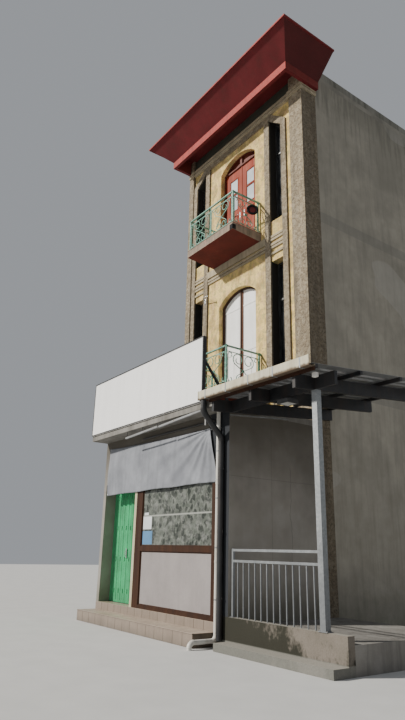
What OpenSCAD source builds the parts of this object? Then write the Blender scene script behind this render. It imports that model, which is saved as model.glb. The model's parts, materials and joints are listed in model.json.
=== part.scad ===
// Three-storey shop building of a terrace row: a tower with arched balcony doors and a
// flared cornice, a single-storey shop in front of it and one bay of covered terrace.
// X runs along the street front, Y runs into the building, Z is up from the ground.
// The origin is on the ground, in the plane of the tower's front, under the balcony doors.

/* [Tower] */
// Tower width left of the middle of the balcony doors
left_w = 2220; // [2100:10:2800]
// Tower width right of the middle of the balcony doors
right_w = 2530; // [2400:10:3000]
// Depth of the tower behind its front
block_d = 9500; // [6000:100:14000]
// Thickness of the two party walls
party_t = 150; // [120:10:220]
// Thickness of the street wall of the upper storeys
front_t = 330; // [300:10:400]
// Thickness of the rear wall
rear_t = 150; // [120:10:250]
// Thickness of the floor slabs and the roof slab
slab_t = 150; // [120:10:200]

/* [Levels] */
// Height of the shop floor above the ground
shop_floor_z = 370; // [300:10:450]
// Height of the first upper floor above the ground
floor2_z = 4960; // [4860:10:5300]
// Height of an upper storey, floor to floor
storey_h = 4070; // [3900:10:4400]
// Height from the top floor to the underside of the roof slab
top_storey_h = 3870; // [3800:10:4400]
// Height of the wall round the flat roof
parapet_h = 200; // [100:10:700]

/* [Tower front] */
// Width of the left corner pilaster
pilaster_w = 210; // [150:10:220]
// Width of the right corner pier
pier_w = 430; // [300:10:480]
// Depth of the corner piers behind the front
pier_d = 430; // [400:10:600]
// How far the corner piers stand out from the front
pier_proud = 70; // [40:5:120]
// Distance from the left pilaster to the middle of the left slot windows
slot_left_gap = 390; // [380:5:420]
// Distance from the right pier to the middle of the right slot windows
slot_right_gap = 560; // [540:10:600]
// Width of a slot window
slot_w = 430; // [300:10:440]
// Height of a slot window of the lower storey
slot_h = 2980; // [2400:10:3100]
// Height of a slot window's crossbar above its sill, as a share of the window's height
slot_bar_share = 0.67; // [0.4:0.01:0.7]
// Distance from the ridges under the cornice down to the top-storey slot windows
slot_head_gap = 180; // [120:10:300]
// Drop of a top-storey slot window's head towards its outer side
slot_slant = 350; // [100:10:500]
// Height of a slot window's sill above its floor
slot_sill = 140; // [100:10:400]
// Width of the stone strip between the doors and a slot window
strip_w = 185; // [120:5:190]
// Width of the stone strip outside a slot window
outer_strip_w = 165; // [80:5:165]
// How far the stone strips stand out from the front
strip_proud = 45; // [20:5:65]
// Height of the slanted stone band over a top-storey slot window
head_band_h = 220; // [120:10:240]
// Height of one ridge under the cornice
ridge_h = 72; // [40:2:80]
// Clear height between two ridges under the cornice
ridge_gap = 38; // [20:2:50]
// How far the ridges stand out from what they sit on
ridge_proud = 35; // [15:5:60]
// Height of one ridge of a storey band
band_ridge_h = 56; // [40:2:60]
// Clear height between two ridges of a storey band
band_gap = 28; // [20:2:30]
// Number of ridges in a storey band
band_ridges = 2; // [1:1:2]
// Distance from a floor down to the underside of the band below its balcony
band_drop = 620; // [610:5:640]
// Height of the upper band between two slot windows above the lower one
upper_band_up = 213; // [180:1:230]
// Distance from a floor down to the underside of the ridge over a slot window
head_ridge_drop = 784; // [740:2:800]
// Number of ridges under the cornice
top_ridges = 2; // [1:1:3]
// Distance from the roof slab down to the ridges under it
frieze_h = 390; // [380:10:500]
// Height of the rough stone band below those ridges
stone_band_h = 170; // [80:10:250]

/* [Balcony doors] */
// Clear width of the arched door opening
door_w = 1460; // [1200:10:1500]
// Height of the arch's spring above the floor
spring_h = 2630; // [2300:10:2700]
// Rise of the arch above its spring
arch_rise = 300; // [150:10:360]
// Depth of the door opening in front of the door frame
reveal = 130; // [60:5:150]
// Width of the door frame's members
frame_w = 40; // [30:5:60]
// Depth of the door frame, front to back
frame_d = 120; // [90:5:140]
// Width of a door leaf's stiles and rails
stile_w = 185; // [90:5:200]
// Thickness of a door leaf
leaf_t = 40; // [30:2:50]
// Height of the door leaves of the top storey
leaf_h = 2620; // [2300:10:2640]
// Height of a door leaf's top rail
leaf_rail_h = 270; // [120:10:300]
// Height of the solid part at the foot of a door leaf
kick_h = 1350; // [700:10:1400]
// Height of the rails above and below the sunk panel at the foot of a leaf
kick_rail_h = 180; // [100:10:250]
// Width of the bar between the two panes of a leaf
mid_bar_h = 45; // [30:5:60]
// Thickness of boards, thin panels and panes in the doors
board_t = 12; // [6:1:20]

/* [Balconies] */
// Width of a balcony slab
balcony_w = 1890; // [1700:10:1960]
// Projection of the lower balcony slab from the front
balcony_2_d = 1060; // [800:10:1200]
// Projection of the upper balcony slab from the front
balcony_3_d = 910; // [800:10:1200]
// Thickness of a balcony slab at its outer edge
balcony_t = 190; // [120:5:200]
// Thickness of a balcony slab at the wall
balcony_root_t = 250; // [200:5:260]
// Height of the concrete beam on the wall under a balcony slab
slab_beam_h = 190; // [100:10:190]
// How far that beam stands out from the front
slab_beam_proud = 50; // [20:5:80]
// Height of the balcony railing
rail_h = 900; // [850:10:1100]
// Distance from the slab's edge to the railing
rail_inset = 45; // [35:5:150]
// Side of the railing's square corner posts
post_s = 32; // [24:2:44]
// Height of the flat top rail
top_rail_h = 28; // [20:2:40]
// Width of the flat top rail
top_rail_w = 46; // [36:2:60]
// Side of the square scroll bars
bar_s = 14; // [10:1:18]
// Distance from the top rail down to the second rail
second_rail_drop = 130; // [90:5:180]
// Height of the bottom rail above the slab
foot_z = 60; // [40:5:100]
// Number of scroll panels across the front of a balcony
front_panels = 2; // [1:1:3]
// Height of the rosette in a scroll panel above the slab
rosette_z = 375; // [340:5:420]
// Radius of the rosette
rosette_r = 24; // [18:1:30]
// Distance from the wall to the end posts of the railing
end_post_gap = 40; // [20:5:80]

/* [Cornice] */
// Projection of the eave from the front
eave_d = 690; // [500:10:900]
// Overhang of the eave past the right corner pier
eave_right = 120; // [100:10:300]
// Depth of the eave's edge below the roof slab
eave_drop = 430; // [350:5:500]
// Height of the upright fascia along the eave's lower edge
fascia_h = 210; // [120:5:300]
// Thickness of the eave's edge and of the flared plate
fascia_t = 90; // [60:5:120]
// How far the cornice flares out and up
flare = 570; // [300:10:700]
// Height of the lip at the cornice's top edge
lip_h = 45; // [30:5:80]
// Width of the lip in front of the flared plate
lip_w = 40; // [20:5:60]

/* [Shop] */
// Projection of the shop in front of the tower
shop_d = 2200; // [1600:10:3000]
// Thickness of the shop's side walls
shop_wall_t = 120; // [110:10:150]
// How far the shop's flat roof stands out in front of its wall
shop_eave = 400; // [250:10:500]
// Height of the top of the shop's flat roof above the ground
shop_roof_z = 4020; // [3700:10:4050]
// Thickness of the shop's flat roof
shop_roof_t = 120; // [100:10:180]
// Depth of the front step's tread
tread_d = 430; // [280:10:500]
// Height of the steps in front of the shop and the back door
step_h = 210; // [140:5:240]
// Depth of the step at the back door
back_step_d = 300; // [250:10:450]
// Distance from the tower's right side to the end of the front step
step_end_gap = 360; // [200:10:500]
// Width of the shop window, frame included
window_w = 2780; // [2000:10:2800]
// Distance from the tower's right side to the shop window
window_gap = 380; // [300:10:500]
// Height of the shop window, frame included
window_h = 2530; // [2000:10:2700]
// Width of the shop window's frame members
shop_frame_w = 100; // [60:5:130]
// Width of the shop window's left stile
shop_stile_w = 245; // [100:5:300]
// Height of the shop window's bottom rail
shop_foot_h = 70; // [50:5:100]
// Depth of the shop window's frame
shop_frame_d = 90; // [60:5:110]
// Height of the panel under the shop window's glass
panel_h = 1085; // [700:10:1300]
// Thickness of the panel and the glass of the shop window
pane_t = 10; // [6:1:20]
// Distance from the shop's front to the folding shutter
shutter_setback = 260; // [200:10:500]
// Width of one leaf of the folding shutter
shutter_leaf = 95; // [70:5:140]
// Depth of the folding shutter's zigzag
shutter_fold = 45; // [25:5:70]
// Thickness of the shutter leaves
shutter_t = 12; // [8:1:20]
// Width of the post beside the shutter
jamb_post_w = 90; // [60:5:120]

/* [Signs] */
// Height of the sign board
sign_h = 1270; // [900:10:1400]
// Thickness of the sign board
sign_t = 28; // [15:1:40]
// Distance from the tower's right side to the sign's right end
sign_gap = 260; // [200:10:400]
// Side of the square tubes that carry the sign
sign_tube = 40; // [30:5:60]
// Number of posts behind the sign
sign_posts = 4; // [3:1:6]
// Width of the banner
banner_w = 4240; // [3000:10:4300]
// Distance from the tower's right side to the banner
banner_gap = 310; // [250:10:400]
// Height of the banner
banner_h = 1100; // [700:10:1200]
// Height of the banner's lower hem above the ground
banner_z = 2640; // [2500:10:2700]
// Thickness of the space that the banner hangs in
banner_t = 60; // [30:5:70]

/* [Covered terrace] */
// Width of the terrace bay beside the shop
terrace_w = 2470; // [1800:10:3200]
// Height of the terrace's low wall above the ground
low_wall_z = 480; // [430:10:700]
// Thickness of the low wall
low_wall_t = 130; // [100:10:200]
// Depth of the kerb in front of the low wall
kerb_d = 290; // [200:10:500]
// Height of the kerb
kerb_h = 120; // [80:5:200]
// Height of the terrace railing above the low wall
fence_h = 1045; // [800:5:1200]
// Distance from the shop's corner to the first post of the railing
fence_end = 30; // [10:5:100]
// Side of the railing's tubes
fence_tube = 38; // [28:2:44]
// Side of the railing's upright bars
fence_bar = 16; // [12:1:22]
// Number of upright bars in the railing
fence_bars = 13; // [12:1:24]
// Distance from the railing's top to its second rail
fence_second = 170; // [90:5:250]
// Side of the canopy's posts
canopy_post = 100; // [80:5:110]
// Distance from the canopy's right end to its posts
post_gap = 370; // [200:10:600]
// Height of the canopy's gutter above the ground
gutter_z = 4030; // [4025:5:4200]
// Height of the gutter's back, up to the sheet
gutter_back_h = 45; // [30:5:60]
// Height of the gutter's front
gutter_h = 155; // [120:5:180]
// Width of the gutter
gutter_w = 130; // [100:5:160]
// Thickness of the gutter's metal
gutter_t = 8; // [5:1:12]
// Height of the board under the gutter
gutter_board_h = 55; // [30:5:80]
// Height of the canopy's rafters
rafter_h = 210; // [120:10:240]
// Height of the purlins that lie on the rafters
purlin_h = 60; // [40:5:80]
// Width of the canopy's rafters and purlins
canopy_beam_w = 60; // [50:5:80]
// Rise of the canopy from its gutter to its rear edge
canopy_rise = 273; // [120:1:360]
// Number of spaces between the canopy's purlins
purlin_bays = 3; // [2:1:5]
// Width of one rib of the corrugated sheet
rib_pitch = 180; // [140:5:240]
// Height of a rib of the corrugated sheet
rib_h = 28; // [18:2:40]
// Thickness of the corrugated sheet
sheet_t = 4; // [3:1:6]

/* [Windows] */
// Width of the window frames' members
sash_w = 45; // [30:5:60]
// Depth of the window frames
sash_d = 50; // [35:5:60]
// Distance from the front to a slot window's frame
slot_reveal = 190; // [80:10:220]
// Thickness of the window panes
glass_t = 6; // [4:1:10]

/* [Rear] */
// Width of a rear window
rear_window_w = 1200; // [800:10:1250]
// Height of a rear window
rear_window_h = 1250; // [800:10:1300]
// Height of a rear window's sill above its floor
rear_sill = 950; // [800:10:1100]
// Distance of a rear window's middle from the middle of the tower
rear_window_x = 1080; // [900:10:1200]
// Width of the back door, frame included
back_door_w = 900; // [800:10:1000]
// Height of the back door, frame included
back_door_h = 2100; // [1950:10:2200]

/* [Pipes and fittings] */
// Outer diameter of the rain pipe
rain_pipe_d = 75; // [60:5:110]
// Outer diameter of the cable conduit in the groove beside the pier
conduit_d = 30; // [20:2:40]
// Length of the cable conduit above the shop's roof
conduit_h = 5200; // [2000:100:7500]
// Distance from the front step's end to the rain pipe
rain_gap = 60; // [20:5:80]
// Number of collars on the rain pipe
rain_collars = 2; // [1:1:4]
// Distance of the rain pipe's foot in front of the shop
rain_foot_d = 560; // [460:10:700]
// Outer diameter of the pipe that drains the canopy's gutter
drain_d = 105; // [80:5:110]
// Distance from the tower's right side to the middle of the drain pipe
drain_gap = 155; // [120:5:180]
// Side of the floodlight's case
flood_s = 240; // [180:10:320]
// Distance from the canopy's right end to the floodlight
flood_gap = 1020; // [700:10:1400]

/* [Hidden] */

// Clearance between pieces that sit loosely beside each other
seat = 0.3;
// Reach of a cutting tool past the face that it cuts
cut = 20;
// Diagonal of a square whose side is one
diagonal = sqrt(2);

floor3_z = floor2_z + storey_h;
roof_z = floor3_z + top_storey_h;
roof_top_z = roof_z + slab_t;
tower_mid = (right_w - left_w) / 2;

pilaster_in = -left_w + pilaster_w;
pier_in = right_w - pier_w;
party_left_in = -left_w + party_t;
party_right_in = right_w - party_t;
rear_in = block_d - rear_t;

// Distance of the slot windows' middle from the doors' middle
slot_left = left_w - pilaster_w - slot_left_gap;
slot_right = right_w - pier_w - slot_right_gap;
// Side of the front and distance of the slot windows on it
slots = [[-1, slot_left], [1, slot_right]];
strip_left = -slot_left + slot_w / 2 + strip_w;
strip_right = slot_right - slot_w / 2 - strip_w;
ridge_pitch = ridge_h + ridge_gap;
band_pitch = band_ridge_h + band_gap;
cap_top_z = roof_z - frieze_h;
cap_z = cap_top_z - top_ridges * ridge_pitch + ridge_gap;
// Height and slant of the slot windows of the lower and the top storey
slot_2 = [slot_h, 0];
slot_3 = [cap_z - slot_head_gap - floor3_z - slot_sill, slot_slant];

shop_front_y = -shop_d;
shop_ceiling_z = shop_roof_z - shop_roof_t;
sign_y = shop_front_y - shop_eave;
sign_x = [-left_w, right_w - sign_gap];
bulkhead_z = shop_floor_z + window_h;
window_x1 = right_w - window_gap;
window_x0 = window_x1 - window_w;
shutter_y = shop_front_y + shutter_setback;

terrace_x1 = right_w + terrace_w;
low_wall_y = [shop_front_y, shop_front_y + low_wall_t];
fence_y = shop_front_y + low_wall_t / 2;
post_x = [terrace_x1 - post_gap - canopy_post, terrace_x1 - post_gap];
sheet_z = gutter_z + gutter_back_h;
rafter_z = sheet_z - purlin_h - rafter_h;

// Block between two corners
module block(x, y, z) {
    translate([x[0], y[0], z[0]])
        cube([x[1] - x[0], y[1] - y[0], z[1] - z[0]]);
}

// Flat outline in plan, raised from one level to another
module plan(points, z) {
    translate([0, 0, z[0]])
        linear_extrude(height = z[1] - z[0])
            polygon(points);
}

// Outline in X and Z, given its depth from y[0] to y[1]
module upright(y) {
    translate([0, y[1], 0])
        rotate([90, 0, 0])
            linear_extrude(height = y[1] - y[0])
                children();
}

// Outline in Y and Z, given its length from x[0] to x[1]
module lengthwise(x) {
    translate([x[0], 0, 0])
        rotate([90, 0, 90])
            linear_extrude(height = x[1] - x[0])
                children();
}

// Shop

module shop_floor() {
    color("#b9a58f")
        plan([
            [-left_w, shop_front_y], [window_x1, shop_front_y], [window_x1, low_wall_y[1]],
            [right_w, low_wall_y[1]], [right_w, -pier_proud],
            [pier_in, -pier_proud], [pier_in, pier_d], [party_right_in, pier_d],
            [party_right_in, rear_in], [party_left_in, rear_in], [party_left_in, pier_d],
            [pilaster_in, pier_d], [pilaster_in, -pier_proud], [-left_w, -pier_proud]],
            [0, shop_floor_z]);
}

module steps() {
    color("#d9bb9b") {
        block([-left_w, right_w - step_end_gap], [shop_front_y - tread_d, shop_front_y],
            [0, step_h]);
        block([back_door_x - back_door_w, back_door_x + back_door_w],
            [block_d, block_d + back_step_d], [0, step_h]);
    }
}

module shop_wall_left() {
    color("#b7b4ae")
        block([-left_w, -left_w + shop_wall_t], [shop_front_y, -pier_proud],
            [shop_floor_z, shop_ceiling_z]);
}

// Side wall, and the front wall beside the shop window, which stands on the low wall
module shop_wall_right() {
    color("#8c8983") {
        block([right_w - shop_wall_t, right_w], [low_wall_y[1], -pier_proud],
            [shop_floor_z, shop_ceiling_z]);
        block([window_x1, right_w], low_wall_y, [low_wall_z, shop_ceiling_z]);
    }
}

module shop_bulkhead() {
    color("#9a9a98")
        block([-left_w + shop_wall_t, window_x1],
            [shop_front_y, shop_front_y + shop_wall_t], [bulkhead_z, shop_ceiling_z]);
}

module shop_roof() {
    color("#8e8d88")
        plan([
            [-left_w, sign_y], [right_w, sign_y], [right_w, -pier_proud],
            [pier_in, -pier_proud], [pier_in, 0], [pilaster_in, 0],
            [pilaster_in, -pier_proud], [-left_w, -pier_proud]],
            [shop_ceiling_z, shop_roof_z]);
}

field_x = [window_x0 + shop_stile_w, window_x1 - shop_frame_w];
panel_field_z = [shop_floor_z + shop_foot_h, shop_floor_z + panel_h];
glass_field_z = [shop_floor_z + panel_h + shop_frame_w, bulkhead_z - shop_frame_w];

module shop_window_frame() {
    y = [shop_front_y, shop_front_y + shop_frame_d];
    color("#5a2f1b")
        difference() {
            block([window_x0, window_x1], y, [shop_floor_z, bulkhead_z]);
            for (z = [panel_field_z, glass_field_z])
                block(field_x, [y[0] - cut, y[1] + cut], z);
        }
}

// Pane that fills one field of the shop window
module shop_pane(z) {
    y = shop_front_y + shop_frame_d / 3;
    block(field_x, [y, y + pane_t], z);
}

module shop_window_panel() {
    color("#cfc3bd")
        shop_pane(panel_field_z);
}

module shop_window_glass() {
    color("#8f9a90")
        shop_pane(glass_field_z);
}

module shutter_post() {
    color("#d8cfa0")
        block([window_x0 - jamb_post_w, window_x0],
            [shop_front_y, shutter_y + shutter_fold + shutter_t],
            [shop_floor_z, bulkhead_z]);
}

module folding_shutter() {
    x0 = -left_w + shop_wall_t;
    span = window_x0 - jamb_post_w - x0;
    leaves = 2 * floor(span / shutter_leaf / 2);
    step = span / leaves;
    fold = [for (i = [0:leaves]) [x0 + i * step, shutter_y + (i % 2) * shutter_fold]];
    color("#2f9a55")
        plan(concat(fold, [for (i = [leaves:-1:0]) fold[i] + [0, shutter_t]]),
            [shop_floor_z, bulkhead_z]);
}

// Signs

module sign_board() {
    color("#e9e9e6")
        block(sign_x, [sign_y - sign_t, sign_y], [shop_roof_z, shop_roof_z + sign_h]);
}

module sign_frame() {
    pitch = (sign_x[1] - sign_x[0] - sign_tube) / (sign_posts - 1);
    third = sign_h / 3;
    brace_z = shop_roof_z + 2 * third;
    brace_y = sign_y + sign_h / 2;
    brace_t = sign_tube * diagonal;
    color("#3c3c3e") {
        for (i = [0:sign_posts - 1])
            translate([sign_x[0] + i * pitch, 0, 0]) {
                block([0, sign_tube], [sign_y, sign_y + sign_tube],
                    [shop_roof_z, shop_roof_z + sign_h]);
                lengthwise([0, sign_tube])
                    polygon([
                        [sign_y + sign_tube / 2, brace_z],
                        [sign_y + sign_tube / 2, brace_z - brace_t],
                        [brace_y, shop_roof_z], [brace_y + brace_t, shop_roof_z]]);
            }
        for (z = [shop_roof_z + third, shop_roof_z + sign_h - sign_tube])
            block(sign_x, [sign_y, sign_y + sign_tube], [z, z + sign_tube]);
    }
}

module banner() {
    color("#e4e6ea")
        block([right_w - banner_gap - banner_w, right_w - banner_gap],
            [shop_front_y - banner_t, shop_front_y], [banner_z, banner_z + banner_h]);
}

// Covered terrace

module terrace_floor() {
    color("#7f7d78")
        block([right_w, terrace_x1], [low_wall_y[1], pier_d], [0, shop_floor_z]);
}

module terrace_wall() {
    color("#6f6f68") {
        block([window_x1, terrace_x1], low_wall_y, [0, low_wall_z]);
        block([right_w, terrace_x1], [shop_front_y - kerb_d, shop_front_y], [0, kerb_h]);
    }
}

module terrace_railing() {
    x = [right_w + fence_end, post_x[0]];
    z = [low_wall_z, low_wall_z + fence_h];
    y = [fence_y - fence_tube / 2, fence_y + fence_tube / 2];
    bar_pitch = (x[1] - x[0]) / (fence_bars + 1);
    second_z = z[1] - fence_second;
    color("#9b9fa1") {
        block(x, y, [z[1] - fence_tube, z[1]]);
        block(x, y, [second_z - fence_tube, second_z]);
        for (post = [x[0], x[1] - fence_tube])
            block([post, post + fence_tube], y, z);
        for (i = [1:fence_bars])
            translate([x[0] + i * bar_pitch, fence_y, 0])
                block([-fence_bar / 2, fence_bar / 2], [-fence_bar / 2, fence_bar / 2],
                    [low_wall_z, second_z - fence_tube / 2]);
    }
}

// Rise of the canopy at some depth, measured from its gutter
canopy_d = pier_d - sign_y;
function canopy_up(y) = (y - sign_y) * canopy_rise / canopy_d;

module canopy_posts() {
    front = [shop_front_y, shop_front_y + canopy_post];
    rear = [pier_d - canopy_post, pier_d];
    color("#3e4042") {
        block(post_x, front, [low_wall_z, rafter_z + canopy_up(front[0])]);
        block(post_x, rear, [shop_floor_z, rafter_z + canopy_up(rear[0])]);
    }
}

// Member of the canopy along X, its top and bottom parallel to the sheet
module canopy_member(x, y, z) {
    lengthwise(x)
        polygon([
            [y[0], z[0] + canopy_up(y[0])], [y[1], z[0] + canopy_up(y[1])],
            [y[1], z[1] + canopy_up(y[1])], [y[0], z[1] + canopy_up(y[0])]]);
}

module canopy_beams() {
    rafters = [right_w, (right_w + post_x[0]) / 2, post_x[0]];
    run = (canopy_d - canopy_beam_w) / purlin_bays;
    color("#26282a") {
        for (x = rafters)
            canopy_member([x, x + canopy_beam_w], [sign_y, pier_d],
                [rafter_z, rafter_z + rafter_h]);
        for (i = [0:purlin_bays])
            canopy_member([right_w, terrace_x1],
                [sign_y + i * run, sign_y + i * run + canopy_beam_w],
                [rafter_z + rafter_h, sheet_z]);
        canopy_member([right_w, terrace_x1], [shop_front_y, shop_front_y + canopy_beam_w],
            [rafter_z, rafter_z + rafter_h]);
    }
}

// Wavy line of a corrugated sheet, with ribs along the fall
function rib_line(count) = [
    for (i = [0:count - 1])
        for (p = [[0, 0], [0.25, 0], [0.38, rib_h], [0.62, rib_h], [0.75, 0]])
            [(i + p[0]) * rib_pitch, p[1]]];

module canopy_roof() {
    count = floor((terrace_w - seat) / rib_pitch);
    line = concat(rib_line(count), [[terrace_w - seat, 0]]);
    last = len(line) - 1;
    front = -gutter_w / 2;
    fall = atan(canopy_rise / canopy_d);
    color("#8a8f93")
        translate([right_w + seat, sign_y, sheet_z])
            rotate([fall, 0, 0])
                upright([front, canopy_d / cos(fall)])
                    polygon(concat(line, [for (i = [last:-1:0]) line[i] + [0, sheet_t]]));
}

module canopy_gutter() {
    color("#d8d3c4")
        lengthwise([sign_x[1] + gutter_t, terrace_x1])
            polygon([
                [sign_y, gutter_z], [sign_y, gutter_z + gutter_back_h - gutter_t],
                [sign_y - gutter_t, gutter_z + gutter_back_h - gutter_t],
                [sign_y - gutter_t, gutter_z + gutter_t],
                [sign_y - gutter_w + gutter_t, gutter_z + gutter_t],
                [sign_y - gutter_w + gutter_t, gutter_z + gutter_h],
                [sign_y - gutter_w, gutter_z + gutter_h],
                [sign_y - gutter_w, gutter_z]]);
}

module gutter_board() {
    color("#6b4a36")
        block([drain_x + drain_d, terrace_x1], [sign_y - gutter_board_h / 2, sign_y],
            [gutter_z - gutter_board_h, gutter_z]);
}

// How far a pipe reaches into its bends, and how much thicker the bends are
pipe_lap = 15;
collar_t = 4;
drain_x = right_w - drain_gap;
drain_y = [shop_front_y - drain_d / 2 - collar_t, sign_y - gutter_w / 2];
drain_bend = drain_d * 3 / 2;
drain_turn = 45;
// Length of the slanting stretch, and the heights where it starts and ends
drain_run = (drain_y[0] - drain_y[1] - 2 * drain_bend * (1 - cos(drain_turn)))
    / sin(drain_turn);
drain_top_z = shop_ceiling_z - cut;
drain_low_z = drain_top_z - 2 * drain_bend * sin(drain_turn) - drain_run * cos(drain_turn);

// Bend of a pipe in Y and Z at some X: its middle, radius, diameter and two angles
module pipe_bend(x, middle, r, d, start, turn) {
    translate([x, middle[0], middle[1]])
        rotate([90, 0, 90])
            rotate([0, 0, start])
                rotate_extrude(angle = turn, $fn = 64)
                    translate([r, 0])
                        circle(d = d + 2 * collar_t, $fn = 32);
}

// Straight pipe that reaches a little into the bends at its ends
module pipe_length(d, length, laps) {
    translate([0, 0, -laps[0]])
        cylinder(d = d, h = length + laps[0] + laps[1], $fn = 32);
}

module gutter_drain() {
    bend_y = drain_bend * (1 - cos(drain_turn));
    bend_z = drain_bend * sin(drain_turn);
    color("#1c1d1f") {
        translate([drain_x, drain_y[0], kerb_h])
            pipe_length(drain_d, drain_low_z - kerb_h, [0, pipe_lap]);
        pipe_bend(drain_x, [drain_y[0] - drain_bend, drain_low_z], drain_bend, drain_d,
            0, drain_turn);
        translate([drain_x, drain_y[0] - bend_y, drain_low_z + bend_z])
            rotate([drain_turn, 0, 0])
                pipe_length(drain_d, drain_run, [pipe_lap, pipe_lap]);
        pipe_bend(drain_x, [drain_y[1] + drain_bend, drain_top_z], drain_bend, drain_d,
            180, drain_turn);
        translate([drain_x, drain_y[1], drain_top_z])
            pipe_length(drain_d, gutter_z - drain_top_z, [pipe_lap, 0]);
    }
}

module floodlight() {
    case_t = flood_s / 4;
    arm = flood_s / 6;
    top_z = rafter_z + canopy_up(shop_front_y);
    color("#c9cbc8")
        translate([terrace_x1 - flood_gap, shop_front_y + canopy_beam_w / 2, top_z]) {
            block([-flood_s / 2, flood_s / 2], [-flood_s / 2, flood_s / 2],
                [-arm - case_t, -arm]);
            block([-arm, arm], [-arm / 2, arm / 2], [-arm, 0]);
        }
}

// Tower walls, floors and roof

module party_wall_left() {
    color("#a39d90")
        block([-left_w, party_left_in], [pier_d, rear_in], [0, roof_z]);
}

module party_wall_right() {
    color("#a39d90")
        block([party_right_in, right_w], [pier_d, rear_in], [0, roof_z]);
}

rear_window_xs = [tower_mid - rear_window_x, tower_mid + rear_window_x];
back_door_x = rear_window_xs[1];

// Lower middle points of the rear windows, in X and Z
rear_windows = concat(
    [[rear_window_xs[0], shop_floor_z + rear_sill]],
    [for (z = [floor2_z, floor3_z]) for (x = rear_window_xs) [x, z + rear_sill]]);

module rear_wall() {
    y = [rear_in - cut, block_d + cut];
    color("#a39d90")
        difference() {
            block([-left_w, right_w], [rear_in, block_d], [0, roof_z]);
            for (w = rear_windows)
                block([w[0] - rear_window_w / 2, w[0] + rear_window_w / 2], y,
                    [w[1], w[1] + rear_window_h]);
            block([back_door_x - back_door_w / 2, back_door_x + back_door_w / 2], y,
                [shop_floor_z, shop_floor_z + back_door_h]);
        }
}

// Upper floor slab, fitted round the corner piers and between the walls
module floor_slab(floor_z) {
    plan([
        [pilaster_in, front_t], [pier_in, front_t], [pier_in, pier_d],
        [party_right_in, pier_d], [party_right_in, rear_in],
        [party_left_in, rear_in], [party_left_in, pier_d], [pilaster_in, pier_d]],
        [floor_z - slab_t, floor_z]);
}

module floor_2() {
    color("#9c9a94")
        floor_slab(floor2_z);
}

module floor_3() {
    color("#9c9a94")
        floor_slab(floor3_z);
}

module roof_slab() {
    eave_in = right_w + eave_right - fascia_t;
    color("#8f8b82")
        plan([
            [-left_w + fascia_t, -eave_d + fascia_t], [eave_in, -eave_d + fascia_t],
            [eave_in, pier_d], [right_w, pier_d], [right_w, block_d],
            [-left_w, block_d], [-left_w, pier_d], [-left_w + fascia_t, pier_d]],
            [roof_z, roof_top_z]);
}

module roof_parapet() {
    color("#8f8b82")
        plan([
            [-left_w, pier_d], [-left_w, block_d], [right_w, block_d], [right_w, pier_d],
            [party_right_in, pier_d], [party_right_in, rear_in],
            [party_left_in, rear_in], [party_left_in, pier_d]],
            [roof_top_z, roof_top_z + parapet_h]);
}

module facade_beam() {
    color("#b5ac8f")
        block([pilaster_in, pier_in], [0, front_t],
            [shop_ceiling_z, floor2_z - slab_t]);
}

// Outline of the arched doorway drawn in by some distance, its foot at the origin
module arch_outline(inset) {
    radius = (door_w * door_w / 4 + arch_rise * arch_rise) / (2 * arch_rise);
    centre = spring_h + arch_rise - radius;
    half = door_w / 2 - inset;
    r = radius - inset;
    spring = centre + sqrt(r * r - half * half);
    union() {
        translate([-half, 0])
            square([2 * half, spring]);
        intersection() {
            translate([0, centre])
                circle(r = r, $fn = 240);
            translate([-half, spring - 1])
                square([2 * half, 2 * r]);
        }
    }
}

// Height of a slot window's head above its sill, at some distance outwards from its middle
function slot_head(x, slot) = slot[0] - slot[1] * (x + slot_w / 2) / slot_w;

// Outline of a slot window on the right of the doors, its sill's middle at the origin
module slot_outline(slot) {
    x = slot_w / 2;
    polygon([[-x, 0], [x, 0], [x, slot_head(x, slot)], [-x, slot_head(-x, slot)]]);
}

// Whatever is made for a right slot window of one storey, at both of its slot windows
module both_slots(floor_z) {
    for (s = slots)
        translate([s[0] * s[1], 0, floor_z + slot_sill])
            mirror([s[0] < 0 ? 1 : 0, 0, 0])
                children();
}

// Street wall of one upper storey: lengths beside the slot windows, the length with the
// arched doorway, and the blocks under and over each slot, which meet at the stone strips
module front_wall(floor_z, top_z, slot) {
    y = [-cut, front_t + cut];
    z = [floor_z - slab_t, top_z];
    side = slot_w / 2;
    for (x = [
        [pilaster_in, -slot_left - side], [-slot_left + side, strip_left],
        [strip_right, slot_right - side], [slot_right + side, pier_in]])
        block(x, [0, front_t], z);
    difference() {
        block([strip_left + seat, strip_right - seat], [0, front_t], z);
        translate([0, 0, floor_z])
            upright(y)
                arch_outline(0);
    }
    both_slots(floor_z)
        difference() {
            block([seat - side, side - seat], [0, front_t],
                [-slot_sill - slab_t, top_z - floor_z - slot_sill]);
            upright(y)
                slot_outline(slot);
        }
}

module front_wall_2() {
    color("#d3c48f")
        front_wall(floor2_z, floor3_z - slab_t, slot_2);
}

module front_wall_3() {
    color("#d3c48f")
        front_wall(floor3_z, roof_z, slot_3);
}

module left_pilaster() {
    color("#857a68")
        block([-left_w, pilaster_in], [-pier_proud, pier_d], [0, roof_z]);
}

module right_pier() {
    color("#857a68")
        block([pier_in, right_w], [-pier_proud, pier_d], [0, roof_z]);
}

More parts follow.
